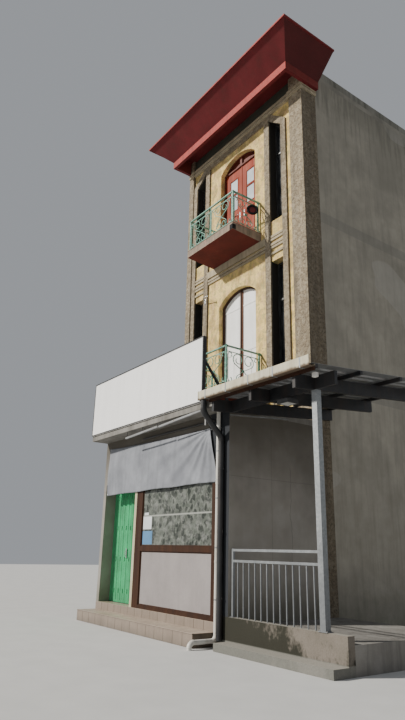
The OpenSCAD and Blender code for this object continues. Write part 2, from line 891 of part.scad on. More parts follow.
// Stone strips beside the slot windows of one storey, up to a level
module storey_strips(floor_z, top_z, slot) {
    foot = -slab_t - slot_sill;
    top = top_z - floor_z - slot_sill;
    x = slot_w / 2;
    outer = x + outer_strip_w;
    both_slots(floor_z)
        upright([-strip_proud, 0]) {
            translate([-x - strip_w, foot])
                square([strip_w, top - foot]);
            if (slot[1] > 0) {
                polygon([
                    [x, foot], [outer, foot],
                    [outer, slot_head(outer, slot)], [x, slot_head(x, slot)]]);
                intersection() {
                    polygon([
                        [-x, slot_head(-x, slot)],
                        [outer, slot_head(outer, slot)],
                        [outer, slot_head(outer, slot) + head_band_h],
                        [-x, slot_head(-x, slot) + head_band_h]]);
                    translate([-x, 0])
                        square([outer + x, top]);
                }
            } else
                translate([x, foot])
                    square([outer_strip_w, top - foot]);
        }
}

module facade_strips() {
    color("#8d8270") {
        storey_strips(floor2_z, floor3_z - slab_t, slot_2);
        storey_strips(floor3_z, cap_z, slot_3);
        block([strip_left, strip_right], [-strip_proud, 0], [cap_z - stone_band_h, cap_z]);
    }
}

// Ridges of a storey band, one above the other
module band_ridge(x, z, count) {
    for (i = [0:count - 1])
        translate([0, 0, z + i * band_pitch])
            block(x, [-ridge_proud, 0], [0, band_ridge_h]);
}

// One ridge that wraps a corner pier, out to x[0] and x[1]
module pier_ridge(x, pier) {
    difference() {
        block(x, [-pier_proud - ridge_proud, pier_d], [0, ridge_h]);
        block(pier, [-pier_proud, pier_d + cut], [-cut, ridge_h + cut]);
        block([pilaster_in - cut, pier_in + cut], [0, pier_d + cut], [-cut, ridge_h + cut]);
    }
}

module wall_mouldings() {
    proud = strip_proud + ridge_proud;
    x = [-slot_w / 2, slot_w / 2];
    color("#b3a98c") {
        for (floor_z = [floor2_z, floor3_z]) {
            block([strip_left, strip_right], [-slab_beam_proud, 0],
                [floor_z - balcony_root_t - slab_beam_h, floor_z - balcony_root_t]);
            band_ridge([strip_left, strip_right], floor_z - band_drop, band_ridges);
            both_slots(floor_z)
                translate([0, 0, -slot_sill]) {
                    band_ridge(x, -band_drop, band_ridges);
                    band_ridge(x, upper_band_up - band_drop, band_ridges);
                    band_ridge(x, -head_ridge_drop, 1);
                }
        }
        for (i = [0:top_ridges - 1])
            translate([0, 0, cap_z + i * ridge_pitch]) {
                block([pilaster_in, pier_in], [-proud, 0], [0, ridge_h]);
                pier_ridge([pier_in - ridge_proud, right_w + ridge_proud],
                    [pier_in, right_w]);
                pier_ridge([-left_w, pilaster_in + ridge_proud], [-left_w - cut, pilaster_in]);
            }
    }
}

// Cornice

eave_x = [-left_w, right_w + eave_right];
eave_y = -eave_d;
cornice_reach = flare + fascia_t;

// Section of the cornice: out from the eave's edge, up from the roof slab's underside
module cornice_section() {
    toe = fascia_h - eave_drop;
    top = toe + flare + lip_h - lip_w;
    back = fascia_t * diagonal;
    polygon([
        [-fascia_t, -eave_drop], [0, -eave_drop], [0, toe],
        [flare - lip_w, toe + flare - lip_w], [flare, toe + flare - lip_w], [flare, top],
        [top - toe - back, top], [slab_t - toe - back, slab_t], [-fascia_t, slab_t]]);
}

// Straight run of the cornice along X, cut to a mitre at the ends by the plan given
module cornice_run(x, points) {
    intersection() {
        translate([x[0] - cornice_reach, 0, roof_z])
            rotate([90, 0, 90])
                linear_extrude(height = x[1] - x[0] + 2 * cornice_reach)
                    mirror([1, 0])
                        cornice_section();
        plan(points, [roof_z - eave_drop - cut, roof_z + cornice_reach]);
    }
}

module cornice() {
    a = cornice_reach;
    run = eave_d + pier_d;
    color("#6b2527")
        difference() {
            union() {
                translate([0, eave_y, 0])
                    cornice_run(eave_x, [
                        [eave_x[0] - a, -a], [eave_x[1] + a, -a],
                        [eave_x[1] - a, a], [eave_x[0] + a, a]]);
                translate([eave_x[1], eave_y, 0])
                    rotate([0, 0, 90])
                        cornice_run([0, run], [[-a, -a], [run, -a], [run, a], [a, a]]);
                translate([eave_x[0], eave_y, 0])
                    mirror([1, 0, 0])
                        rotate([0, 0, 90])
                            cornice_run([0, run], [[-a, -a], [run, -a], [run, a], [a, a]]);
            }
            block([-left_w - cut, pilaster_in],
                [-pier_proud - ridge_proud, pier_d + cut], [0, roof_z]);
        }
}

// Balconies

// Balcony slab whose underside drops towards the wall
module balcony_slab(floor_z, depth) {
    lengthwise([-balcony_w / 2, balcony_w / 2])
        polygon([
            [-depth, floor_z - balcony_t], [0, floor_z - balcony_root_t],
            [0, floor_z], [-depth, floor_z]]);
}

module balcony_slab_2() {
    color("#7d6f60")
        balcony_slab(floor2_z, balcony_2_d);
}

module balcony_slab_3() {
    color("#7d6f60")
        balcony_slab(floor3_z, balcony_3_d);
}

// Share by which a scroll's radius shrinks to its end
curl_in = 0.65;
// Radii of the curls as shares of a panel's width, and of the lower ones as a share
// of the height from the bottom rail to the rosette
side_share = 0.07;
upper_share = 0.15;
lower_share = 0.3;
// First and last angle of a curl that starts at the rosette, and of one on a side bar
arm_turn = [-50, 390];
side_turn = [0, 252];
// Degrees that one straight piece of a curl spans
turn_step = 20;

// Flat band of even width along a line of points
function band(line) = let (
    last = len(line) - 1,
    side = [for (i = [0:last])
        let (d = line[min(i + 1, last)] - line[max(i - 1, 0)])
            [-d[1], d[0]] / norm(d) * bar_s / 2])
    concat([for (i = [0:last]) line[i] + side[i]],
        [for (i = [last:-1:0]) line[i] - side[i]]);

// Points of a scroll round a centre: an even arc to the top, then a narrowing spiral
function scroll(centre, r, angles) = [
    let (count = round((angles[1] - angles[0]) / turn_step))
    for (i = [0:count])
        let (
            a = angles[0] + (angles[1] - angles[0]) * i / count,
            shrink = max(a - 90, 0) / (angles[1] - 90) * curl_in)
            centre + r * (1 - shrink) * [cos(a), sin(a)]];

// Line turned upside down, from its end to its start
function flipped(line, sum_z) = [
    for (i = [len(line) - 1:-1:0]) [line[i][0], sum_z - line[i][1]]];

// Scroll from the rosette out to the right, over the top and inwards
module arm_scroll(root, centre, r) {
    polygon(band(concat([root], scroll(centre, r, arm_turn))));
}

// Upright bar that curls to the left at both ends
module c_scroll(x, z, r) {
    line = scroll([x - r, z[1] - r], r, side_turn);
    polygon(band(concat(flipped(line, z[0] + z[1]), line)));
}

// One panel of scrolls round a rosette, from x = 0 to its width
module scroll_panel(width, top) {
    grip = bar_s / 4;
    side_r = width * side_share;
    up_r = width * upper_share;
    down_r = (rosette_z - foot_z) * lower_share;
    low = foot_z + bar_s + bar_s / 2 - grip;
    high = top - bar_s / 2 + grip;
    translate([width / 2, rosette_z])
        circle(r = rosette_r, $fn = 16);
    for (side = [0, 1])
        translate([width / 2, 0])
            mirror([side, 0]) {
                arm_scroll([0, rosette_z], [up_r + bar_s, high - up_r], up_r);
                mirror([0, 1])
                    arm_scroll([0, -rosette_z], [down_r + bar_s, -low - down_r], down_r);
                c_scroll(width / 2 - 2 * bar_s, [low, high], side_r);
            }
}

// Flat railing panel in X and Z from x = 0 to the given length
module rail_panel(length, panels) {
    width = length / panels;
    second_z = rail_h - second_rail_drop;
    for (z = [foot_z, second_z - bar_s])
        translate([0, z])
            square([length, bar_s]);
    for (i = [0:panels - 1])
        translate([i * width, 0])
            scroll_panel(width, second_z - bar_s);
    if (panels > 1)
        for (i = [1:panels - 1])
            translate([i * width - bar_s / 2, foot_z])
                square([bar_s, rail_h - foot_z - top_rail_h / 2]);
}

// Railing of one balcony: the front with both corner posts, and two sides up to the wall
module balcony_rail(floor_z, depth) {
    rail_x = balcony_w / 2 - rail_inset;
    rail_y = -depth + rail_inset;
    inner = rail_x - post_s / 2;
    side_y = rail_y + post_s / 2 + seat;
    top_y = rail_y + top_rail_w / 2 + seat;
    end_y = -end_post_gap - post_s;
    translate([0, 0, floor_z]) {
        for (side = [-1, 1])
            block([side * rail_x - post_s / 2, side * rail_x + post_s / 2],
                [rail_y - post_s / 2, rail_y + post_s / 2], [0, rail_h]);
        block([-inner, inner], [rail_y - top_rail_w / 2, rail_y + top_rail_w / 2],
            [rail_h - top_rail_h, rail_h]);
        upright([rail_y - bar_s / 2, rail_y + bar_s / 2])
            translate([-inner, 0])
                rail_panel(2 * inner, front_panels);
        for (side = [-1, 1])
            translate([side * rail_x, 0, 0]) {
                translate([0, side_y, 0])
                    rotate([0, 0, 90])
                        upright([-bar_s / 2, bar_s / 2])
                            rail_panel(end_y - side_y + post_s / 2, 1);
                block([-post_s / 2, post_s / 2], [end_y, end_y + post_s], [0, rail_h]);
                block([-bar_s / 2, bar_s / 2], [end_y, 0], [foot_z, foot_z + bar_s]);
                block([-top_rail_w / 2, top_rail_w / 2], [top_y, 0],
                    [rail_h - top_rail_h, rail_h]);
            }
    }
}

module balcony_rail_2() {
    color("#3f9c83")
        balcony_rail(floor2_z, balcony_2_d);
}

module balcony_rail_3() {
    color("#3f9c83")
        balcony_rail(floor3_z, balcony_3_d);
}

// Balcony doors

door_y = [reveal, reveal + frame_d];
leaf_y = [reveal + (frame_d - leaf_t) / 2, reveal + (frame_d + leaf_t) / 2];
board_y = [reveal + (frame_d - board_t) / 2, reveal + (frame_d + board_t) / 2];
arch_top = spring_h + arch_rise;

// Part of the arched doorway between two levels, drawn in by some distance
module arch_part(inset, z) {
    intersection() {
        arch_outline(inset);
        translate([-door_w, z[0]])
            square([2 * door_w, z[1] - z[0]]);
    }
}

// Arched frame of a doorway, open at the foot
module arch_frame() {
    difference() {
        arch_outline(seat);
        translate([0, -cut])
            arch_outline(frame_w);
        arch_outline(frame_w);
    }
}

module door_frame_2() {
    color("#5b3a26")
        translate([0, 0, floor2_z])
            upright(door_y)
                union() {
                    arch_frame();
                    intersection() {
                        translate([-frame_w / 2, 0])
                            square([frame_w, arch_top]);
                        arch_outline(frame_w / 2);
                    }
                }
}

module door_frame_3() {
    color("#7a3322")
        translate([0, 0, floor3_z]) {
            upright(door_y)
                union() {
                    arch_frame();
                    translate([-door_w / 2 + frame_w / 2, leaf_h])
                        square([door_w - frame_w, frame_w]);
                    translate([-frame_w, leaf_h + frame_w / 2])
                        square([2 * frame_w, arch_rise - frame_w / 2]);
                }
            upright(board_y)
                arch_part(frame_w / 2, [leaf_h + frame_w / 2, arch_top]);
        }
}

module door_boards_2() {
    color("#e3e2dd")
        translate([0, 0, floor2_z])
            upright(board_y)
                difference() {
                    arch_outline(frame_w + seat);
                    translate([-frame_w / 2 - seat, -cut])
                        square([frame_w + 2 * seat, arch_top + cut]);
                }
}

leaf_w = door_w / 2 - frame_w - 2 * seat;
pane_x = [stile_w, leaf_w - stile_w];
pane_split = (kick_h + leaf_h - leaf_rail_h + mid_bar_h) / 2;
pane_zs = [
    [kick_h, pane_split - mid_bar_h / 2],
    [pane_split + mid_bar_h / 2, leaf_h - leaf_rail_h]];
kick_panel_z = [kick_rail_h, kick_h - kick_rail_h];

// Rectangle between the two stiles of a leaf, drawn out by some distance on all sides
module leaf_field(z, out) {
    translate([pane_x[0] - out, z[0] - out])
        square([pane_x[1] - pane_x[0] + 2 * out, z[1] - z[0] + 2 * out]);
}

// One glazed door leaf, its hinge edge at x = 0
module door_leaf() {
    upright(leaf_y)
        difference() {
            translate([0, seat])
                square([leaf_w, leaf_h - 2 * seat]);
            for (z = concat(pane_zs, [kick_panel_z]))
                leaf_field(z, 0);
        }
    upright(board_y)
        leaf_field(kick_panel_z, cut / 2);
}

// Left and right copy of something made for the left half of the doorway
module both_leaves() {
    for (side = [0, 1])
        mirror([side, 0, 0])
            translate([-door_w / 2 + frame_w + seat, 0, 0])
                children();
}

module door_leaves_3() {
    color("#c8502f")
        translate([0, 0, floor3_z])
            both_leaves()
                door_leaf();
}

module door_glass_3() {
    color("#c9d4d6")
        translate([0, 0, floor3_z])
            both_leaves()
                upright(board_y)
                    for (z = pane_zs)
                        leaf_field(z, 0);
}

// Windows

rear_y = [rear_in + rear_t / 2 - sash_d / 2, rear_in + rear_t / 2 + sash_d / 2];
slot_y = [slot_reveal, slot_reveal + sash_d];
rear_fields = [
    [-rear_window_w / 2 + sash_w, -sash_w / 2, sash_w, rear_window_h - sash_w],
    [sash_w / 2, rear_window_w / 2 - sash_w, sash_w, rear_window_h - sash_w]];

// Lower and upper pane of a slot window in X and Z, from its sill's middle
module slot_fields(slot) {
    x = slot_w / 2 - sash_w;
    head = sash_w / cos(atan(slot[1] / slot_w));
    bar_z = slot_bar_share * slot[0];
    translate([-x, sash_w])
        square([2 * x, bar_z - sash_w]);
    polygon([
        [-x, bar_z + sash_w], [x, bar_z + sash_w],
        [x, slot_head(x, slot) - head], [-x, slot_head(-x, slot) - head]]);
}

// Panes of a rear window in X and Z, from its sill's middle
module rear_panes() {
    for (f = rear_fields)
        translate([f[0], f[2]])
            square([f[1] - f[0], f[3] - f[2]]);
}

module window_frames() {
    color("#6e7072") {
        for (storey = [[floor2_z, slot_2], [floor3_z, slot_3]])
            both_slots(storey[0])
                upright(slot_y)
                    difference() {
                        slot_outline(storey[1]);
                        slot_fields(storey[1]);
                    }
        for (w = rear_windows)
            translate([w[0], 0, w[1]])
                upright(rear_y)
                    difference() {
                        translate([-rear_window_w / 2, 0])
                            square([rear_window_w, rear_window_h]);
                        rear_panes();
                    }
    }
}

// Depth of a pane of glass in the middle of its frame
function pane_y(y) = [(y[0] + y[1] - glass_t) / 2, (y[0] + y[1] + glass_t) / 2];

module window_glass() {
    color("#20262b") {
        for (storey = [[floor2_z, slot_2], [floor3_z, slot_3]])
            both_slots(storey[0])
                upright(pane_y(slot_y))
                    slot_fields(storey[1]);
        for (w = rear_windows)
            translate([w[0], 0, w[1]])
                upright(pane_y(rear_y))
                    rear_panes();
    }
}

module back_door() {
    leaf_x = back_door_w / 2 - sash_w;
    color("#6d6a5f")
        translate([back_door_x, 0, shop_floor_z]) {
            upright(rear_y)
                difference() {
                    translate([-back_door_w / 2, 0])
                        square([back_door_w, back_door_h]);
                    translate([-leaf_x, -cut])
                        square([2 * leaf_x, back_door_h - sash_w + cut]);
                }
            upright([rear_y[0], rear_y[0] + leaf_t])
                translate([-leaf_x, 0])
                    square([2 * leaf_x, back_door_h - sash_w]);
        }
}

// Pipes

rain_x = right_w - step_end_gap + rain_gap + rain_pipe_d / 2;
rain_y = shop_front_y - rain_pipe_d / 2 - collar_t;
rain_foot_y = shop_front_y - rain_foot_d;
rain_elbow_r = rain_pipe_d;
rain_run_z = rain_elbow_r + 2 * pipe_lap;
conduit_x = pier_in - conduit_d;

module rain_pipe() {
    top_z = rain_run_z + rain_elbow_r;
    translate([rain_x, rain_y, top_z])
        pipe_length(rain_pipe_d, shop_ceiling_z - top_z, [pipe_lap, 0]);
    pipe_bend(rain_x, [rain_y - rain_elbow_r, top_z], rain_elbow_r, rain_pipe_d, -90, 90);
    translate([rain_x, rain_foot_y + rain_elbow_r, rain_run_z])
        rotate([-90, 0, 0])
            pipe_length(rain_pipe_d, rain_y - rain_foot_y - 2 * rain_elbow_r,
                [pipe_lap, pipe_lap]);
    pipe_bend(rain_x, [rain_foot_y + rain_elbow_r, rain_run_z - rain_elbow_r],
        rain_elbow_r, rain_pipe_d, 90, 90);
    translate([rain_x, rain_foot_y, 0])
        pipe_length(rain_pipe_d, rain_run_z - rain_elbow_r, [0, pipe_lap]);
    for (i = [1:rain_collars])
        translate([rain_x, rain_y, shop_ceiling_z * i / (rain_collars + 1)])
            cylinder(d = rain_pipe_d + 2 * collar_t, h = rain_pipe_d / 2, $fn = 32);
}

module pipes() {
    color("#dedfdb") {
        rain_pipe();
        translate([conduit_x, -conduit_d / 2, shop_roof_z])
            cylinder(d = conduit_d, h = conduit_h, $fn = 24);
    }
}

shop_floor();
steps();
shop_wall_left();
shop_wall_right();
shop_bulkhead();
shop_roof();
shop_window_frame();
shop_window_panel();
shop_window_glass();
shutter_post();
folding_shutter();
sign_board();
sign_frame();
banner();
terrace_floor();
terrace_wall();
terrace_railing();
canopy_posts();
canopy_beams();
canopy_roof();
canopy_gutter();
gutter_board();
gutter_drain();
floodlight();
party_wall_left();
party_wall_right();
rear_wall();
floor_2();
floor_3();
roof_slab();
roof_parapet();
facade_beam();
front_wall_2();
front_wall_3();
left_pilaster();
right_pier();
facade_strips();
wall_mouldings();
cornice();
balcony_slab_2();
balcony_slab_3();
balcony_rail_2();
balcony_rail_3();
door_frame_2();
door_frame_3();
door_boards_2();
door_leaves_3();
door_glass_3();
window_frames();
window_glass();
back_door();
pipes();
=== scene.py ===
"""Looks of a corner shop building: finishes, the small pieces on its solids, and the stage."""

import json
import math

import bmesh
import bpy
from bpy.props import FloatProperty, FloatVectorProperty, IntProperty, PointerProperty
from mathutils import Matrix, Vector


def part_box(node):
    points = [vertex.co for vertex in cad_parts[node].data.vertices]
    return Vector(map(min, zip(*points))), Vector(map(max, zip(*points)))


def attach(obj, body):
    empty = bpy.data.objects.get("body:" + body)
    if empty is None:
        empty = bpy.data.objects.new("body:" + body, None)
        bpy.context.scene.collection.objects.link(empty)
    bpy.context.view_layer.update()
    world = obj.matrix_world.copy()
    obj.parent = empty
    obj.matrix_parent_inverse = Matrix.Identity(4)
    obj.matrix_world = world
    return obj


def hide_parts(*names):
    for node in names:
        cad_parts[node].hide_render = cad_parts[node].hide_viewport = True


bl_info = {
    "name": "Corner Shop Building",
    "version": (1, 0, 0),
    "blender": (4, 5, 0),
    "location": "3D View > Sidebar > Corner Shop",
    "description": "Finishes, small pieces and stage for a corner shop building",
    "category": "Object",
}

# Lengths are in metres. X runs along the street front, Y to the rear and Z up.

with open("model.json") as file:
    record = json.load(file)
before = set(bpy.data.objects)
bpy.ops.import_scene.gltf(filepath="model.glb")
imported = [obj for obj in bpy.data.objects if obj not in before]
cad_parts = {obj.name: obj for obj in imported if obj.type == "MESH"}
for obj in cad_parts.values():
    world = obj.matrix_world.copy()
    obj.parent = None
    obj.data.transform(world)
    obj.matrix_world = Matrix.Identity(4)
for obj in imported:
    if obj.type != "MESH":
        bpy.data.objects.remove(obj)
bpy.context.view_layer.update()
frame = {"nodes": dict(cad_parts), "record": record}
NODES = frame["nodes"]
NODE_SLOTS = {part["node"]: part["material_slot"] for part in frame["record"]["subparts"]}

SHOP_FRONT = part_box("shop_window_frame")
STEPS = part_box("steps")
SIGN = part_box("sign_board")
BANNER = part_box("banner")
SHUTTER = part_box("folding_shutter")
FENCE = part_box("terrace_railing")
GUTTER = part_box("canopy_gutter")
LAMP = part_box("floodlight")
RAILS = {"lower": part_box("balcony_rail_2"), "upper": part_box("balcony_rail_3")}
SLABS = {"lower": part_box("balcony_slab_2"), "upper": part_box("balcony_slab_3")}
DOOR_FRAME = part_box("door_frame_3")

FORWARD, UP = (0, -1, 0), (0, 0, 1)

# Middles of the upright pipes in X and Y, and the heights of the upper floors.
RAIN_PIPE = (2.2675, -2.2415)
DRAIN_PIPE = (2.375, -2.2565)
CONDUIT = (2.07, -0.015)
FLOOR_LEVELS = (4.83, 8.90)

STONE_GLOSS = 0.18
LOOSENESS_SEED = 7


# ---------------------------------------------------------------- node trees

FLOAT, VECTOR, INTEGER = "NodeSocketFloat", "NodeSocketVector", "NodeSocketInt"
EFFECTS = {}


class Tree:
    """A node tree with short calls for the nodes that the finishes are made of."""

    def __init__(self, tree):
        self.tree = tree

    def add(self, kind, feeds=None, **settings):
        """A node with these settings, its inputs fed with values or with other nodes."""
        node = self.tree.nodes.new(kind)
        for key, value in settings.items():
            setattr(node, key, value)
        for socket, value in (feeds or {}).items():
            self.feed(node.inputs[socket], value)
        return node

    def feed(self, socket, value):
        """Links an output to an input, or sets a plain value on the input itself."""
        if isinstance(value, bpy.types.NodeSocket):
            self.tree.links.new(value, socket)
        else:
            socket.default_value = value

    def calc(self, how, *values, clamp=False):
        feeds = dict(enumerate(values))
        return self.add("ShaderNodeMath", feeds, operation=how, use_clamp=clamp).outputs[0]

    def mix(self, factor, first, second):
        feeds = {0: factor, 6: colour(first), 7: colour(second)}
        return self.add("ShaderNodeMix", feeds, data_type="RGBA").outputs[2]

    def span(self, value, low, high, to_low=0.0, to_high=1.0):
        """Stretches the values from low to high over another span, and holds them there."""
        feeds = {0: value, 1: low, 2: high, 3: to_low, 4: to_high}
        return self.add("ShaderNodeMapRange", feeds).outputs[0]

    def near(self, value, at, inner, outer):
        """1 within the distance inner of some value, and 0 beyond the distance outer."""
        off = self.calc("ABSOLUTE", self.calc("SUBTRACT", value, at))
        return self.span(off, inner, outer, 1.0, 0.0)

    def noise(self, vector, scale, detail=4.0, rough=0.55):
        feeds = {"Vector": vector, "Scale": scale, "Detail": detail, "Roughness": rough}
        return self.add("ShaderNodeTexNoise", feeds).outputs[0]

    def stretch(self, vector, scale):
        return self.add("ShaderNodeMapping", {"Vector": vector, "Scale": scale}).outputs[0]

    def axes(self, vector):
        return self.add("ShaderNodeSeparateXYZ", {0: vector}).outputs

    def facing(self):
        """X, Y and Z of the direction in which the face looks."""
        return self.axes(self.add("ShaderNodeNewGeometry").outputs["True Normal"])

    def group(self, name, vector, **feeds):
        """Outputs of a shader effect."""
        feeds["Vector"] = vector
        return self.add("ShaderNodeGroup", feeds, node_tree=effect_group(name)).outputs


def colour(value):
    """A colour of three numbers gets the fourth that Blender wants."""
    if isinstance(value, bpy.types.NodeSocket) or len(value) == 4:
        return value
    return (*value, 1.0)


def new_group(name, kind, inputs, outputs):
    """An empty node group with its named inputs and outputs."""
    tree = bpy.data.node_groups.new(name, kind)
    for way, sockets in (("INPUT", inputs), ("OUTPUT", outputs)):
        for label, (socket_type, default) in sockets.items():
            socket = tree.interface.new_socket(name=label, in_out=way, socket_type=socket_type)
            if default is not None:
                socket.default_value = default
    return tree


def effect(*outputs, **inputs):
    """Keeps a function as the maker of a shader effect with these outputs and inputs."""

    def keep(make):
        EFFECTS[make.__name__] = (make, inputs, outputs)
        return make

    return keep


def effect_group(name):
    """The node group of an effect, built the first time that it is asked for."""
    if name in bpy.data.node_groups:
        return bpy.data.node_groups[name]
    make, inputs, outputs = EFFECTS[name]
    sockets = {"Vector": (VECTOR, None)}
    sockets.update({label: (FLOAT, default) for label, default in inputs.items()})
    group = new_group(name, "ShaderNodeTree", sockets, {o: (FLOAT, None) for o in outputs})
    tree = Tree(group)
    given = tree.add("NodeGroupInput").outputs
    target = tree.add("NodeGroupOutput").inputs
    for label, value in zip(outputs, make(tree, given)):
        tree.feed(target[label], value)
    return group


@effect("Blotch", "Speck", "Streak", "Relief", Scale=1.0)
def weathering(t, given):
    """Large blotches, fine specks and streaks that run down a wall."""
    place, size = given["Vector"], given["Scale"]
    blotch = t.noise(place, t.calc("MULTIPLY", size, 1.3), 6.0, 0.62)
    speck = t.noise(place, t.calc("MULTIPLY", size, 26.0), 4.0, 0.7)
    streak = t.noise(t.stretch(place, (5.0, 5.0, 0.45)), size, 5.0, 0.6)
    relief = t.calc("ADD", t.calc("MULTIPLY", blotch, 0.6), t.calc("MULTIPLY", speck, 0.4))
    return t.span(blotch, 0.36, 0.64), t.span(speck, 0.34, 0.66), t.span(streak, 0.46, 0.7), relief


@effect("Tone", "Head", Size=0.02)
def aggregate(t, given):
    """Pebbles of a washed render: a tone for each, and their rounded heads."""
    per_metre = t.calc("DIVIDE", 1.0, given["Size"])
    feeds = {"Vector": given["Vector"], "Scale": per_metre, "Randomness": 1.0}
    pebbles = t.add("ShaderNodeTexVoronoi", feeds).outputs
    return t.axes(pebbles["Color"])[0], t.span(pebbles["Distance"], 0.15, 0.65, 1.0, 0.0)


@effect("Fibre", "Tone", Scale=1.0)
def timber_grain(t, given):
    """Long fibres of wood and the slow change of tone between them."""
    place, size = given["Vector"], given["Scale"]
    fibre = t.noise(t.stretch(place, (34.0, 34.0, 1.6)), size, 5.0, 0.6)
    slow = t.noise(t.stretch(place, (5.0, 5.0, 0.7)), size, 3.0)
    return t.span(fibre, 0.35, 0.65), t.span(slow, 0.35, 0.65)


@effect("Bare", "Rim", Scale=9.0, Amount=0.3)
def chipped_coat(t, given):
    """Where a coat of paint has come off, and the thin edge round each bare patch."""
    patch = t.noise(given["Vector"], given["Scale"], 7.0, 0.72)
    limit = t.span(given["Amount"], 0.0, 1.0, 0.78, 0.4)
    bare = t.span(patch, limit, t.calc("ADD", limit, 0.015))
    rim = t.span(patch, t.calc("SUBTRACT", limit, 0.03), limit)
    return bare, t.calc("SUBTRACT", rim, bare, clamp=True)


@effect("Mask", Level=0.0, Reach=0.5)
def ground_dirt(t, given):
    """Splashed dirt that fades with the height above some level."""
    place, reach = given["Vector"], given["Reach"]
    above = t.calc("SUBTRACT", t.axes(place)[2], given["Level"])
    ragged = t.calc("MULTIPLY", t.noise(place, 3.0, 6.0, 0.65), reach)
    fade = t.calc("DIVIDE", t.calc("SUBTRACT", ragged, above), reach)
    return (t.span(fade, -0.15, 0.55),)


@effect("Thread", Threads=400.0)
def weave(t, given):
    """Plain weave of a cloth, along its own width and length."""
    turns = t.calc("MULTIPLY", given["Threads"], math.tau)
    across, along, _ = t.axes(given["Vector"])
    waves = [t.calc("SINE", t.calc("MULTIPLY", axis, turns)) for axis in (across, along)]
    return (t.span(t.calc("MULTIPLY", *waves), -1.0, 1.0),)


# ------------------------------------------------------------------ finishes


def settings():
    return bpy.context.scene.corner_shop


class Coat(Tree):
    """The material of one slot: tones laid over each other on a worn surface."""

    def __init__(self, name, wear=None, gloss=STONE_GLOSS):
        self.material = bpy.data.materials.new("finish_" + name)
        self.material.use_nodes = True
        super().__init__(self.material.node_tree)
        self.shader = self.tree.nodes["Principled BSDF"]
        self.shader.inputs["Specular IOR Level"].default_value = gloss
        self.place = self.add("ShaderNodeTexCoord").outputs["Object"]
        if wear:
            marks = self.marks("weathering", Scale=wear)
            self.blotch, self.speck, self.streak, self.relief = marks

    def marks(self, name, **feeds):
        """Outputs of an effect that is spread over the building."""
        return self.group(name, self.place, **feeds)

    def start(self, light, dark, mask=None):
        """First tone: light, and dark where the mask is full."""
        self.base = self.mix(self.blotch if mask is None else mask, light, dark)

    def lay(self, *layers):
        """Lays tones over what is there; each has a mask, a strength and its colour."""
        for mask, strength, tone in layers:
            self.base = self.mix(self.calc("MULTIPLY", mask, strength), self.base, tone)

    def between(self, mask, low, high):
        """A value that goes from low to high with a mask."""
        return self.span(mask, 0.0, 1.0, low, high)

    def close(self, rough, height=None, strength=0.0, depth=0.0, metallic=0.0, varnish=0.0):
        """Feeds colour, roughness and relief into the shader, and gives the material."""
        feeds = {"Base Color": self.base, "Roughness": rough, "Metallic": metallic,
                 "Coat Weight": varnish}
        if height is not None:
            relief = {"Height": height, "Strength": strength, "Distance": depth}
            feeds["Normal"] = self.add("ShaderNodeBump", relief).outputs[0]
        for label, value in feeds.items():
            self.feed(self.shader.inputs[label], value)
        return self.material


def masonry(name, light, dark, stain, size=1.0, streaks=0.5, relief=0.35, rough=0.88):
    """Render, concrete, cast stone or rubber with blotches, streaks and specks."""
    t = Coat(name, size)
    t.start(light, dark)
    t.lay((t.streak, streaks, stain), (t.speck, 0.35, dark))
    return t.close(t.between(t.speck, rough - 0.08, rough + 0.07), t.relief, relief, 0.02)


def painted(name, coat, faded, bare, amount=0.25, scale=7.0, rough=0.45, metallic=0.0):
    """Painted metal: a coat that fades, runs and comes off in chips."""
    t = Coat(name, 1.7, 0.4)
    chip, rim = t.marks("chipped_coat", Scale=scale, Amount=amount)
    t.start(coat, faded)
    t.lay((t.streak, 0.3, bare), (rim, 1.0, faded), (chip, 1.0, bare))
    height = t.calc("SUBTRACT", t.speck, t.calc("MULTIPLY", chip, 2.0))
    return t.close(t.between(chip, rough, 0.85), height, 0.2, 0.002, metallic)


def timber(name, light, dark, worn, chips=0.15, rough=0.42):
    """Painted or varnished timber with its grain showing through."""
    t = Coat(name, 1.4)
    fibre, tone = t.marks("timber_grain", Scale=1.0)
    chip = t.marks("chipped_coat", Scale=5.0, Amount=chips)["Bare"]
    t.start(light, dark, tone)
    t.lay((fibre, 0.45, dark), (t.streak, 0.25, worn), (chip, 1.0, worn))
    height = t.calc("SUBTRACT", fibre, chip)
    return t.close(t.between(fibre, rough, rough + 0.2), height, 0.25, 0.002)


def sheet_board(name, light, dark, mark, rough=0.5, runs=0.2):
    """Smooth board, paper or plastic with faint marks and rain dirt."""
    t = Coat(name, 1.2, 0.35)
    t.start(light, dark)
    t.lay((t.streak, runs, mark), (t.speck, 0.12, mark))
    return t.close(t.between(t.blotch, rough - 0.08, rough + 0.1), t.relief, 0.08, 0.004)


def pane(name, tint, haze, rough=0.06):
    """Window glass: a dark or pale pane with dust on it."""
    t = Coat(name, 2.0, 0.5)
    t.start(tint, haze)
    t.lay((t.streak, 0.3, haze))
    return t.close(t.between(t.blotch, rough, rough + 0.14), t.blotch, 0.05, 0.01, varnish=0.6)


def floor_tiles(name, light, dark, joint, side=0.4, rough=0.25):
    """Square floor tiles with dirty joints, laid in X and Y."""
    t = Coat(name, 1.6, 0.45)
    tiles = t.add("ShaderNodeTexBrick", {
        "Vector": t.place, "Color1": colour(light), "Color2": colour(dark),
        "Mortar": colour(joint), "Scale": 1.0, "Mortar Size": 0.004,
        "Brick Width": side, "Row Height": side,
    }, offset=0.0).outputs
    t.base = tiles["Color"]
    t.lay((t.blotch, 0.5, dark), (t.streak, 0.4, joint))
    return t.close(t.between(t.blotch, rough, rough + 0.3), tiles["Fac"], 0.3, -0.002)


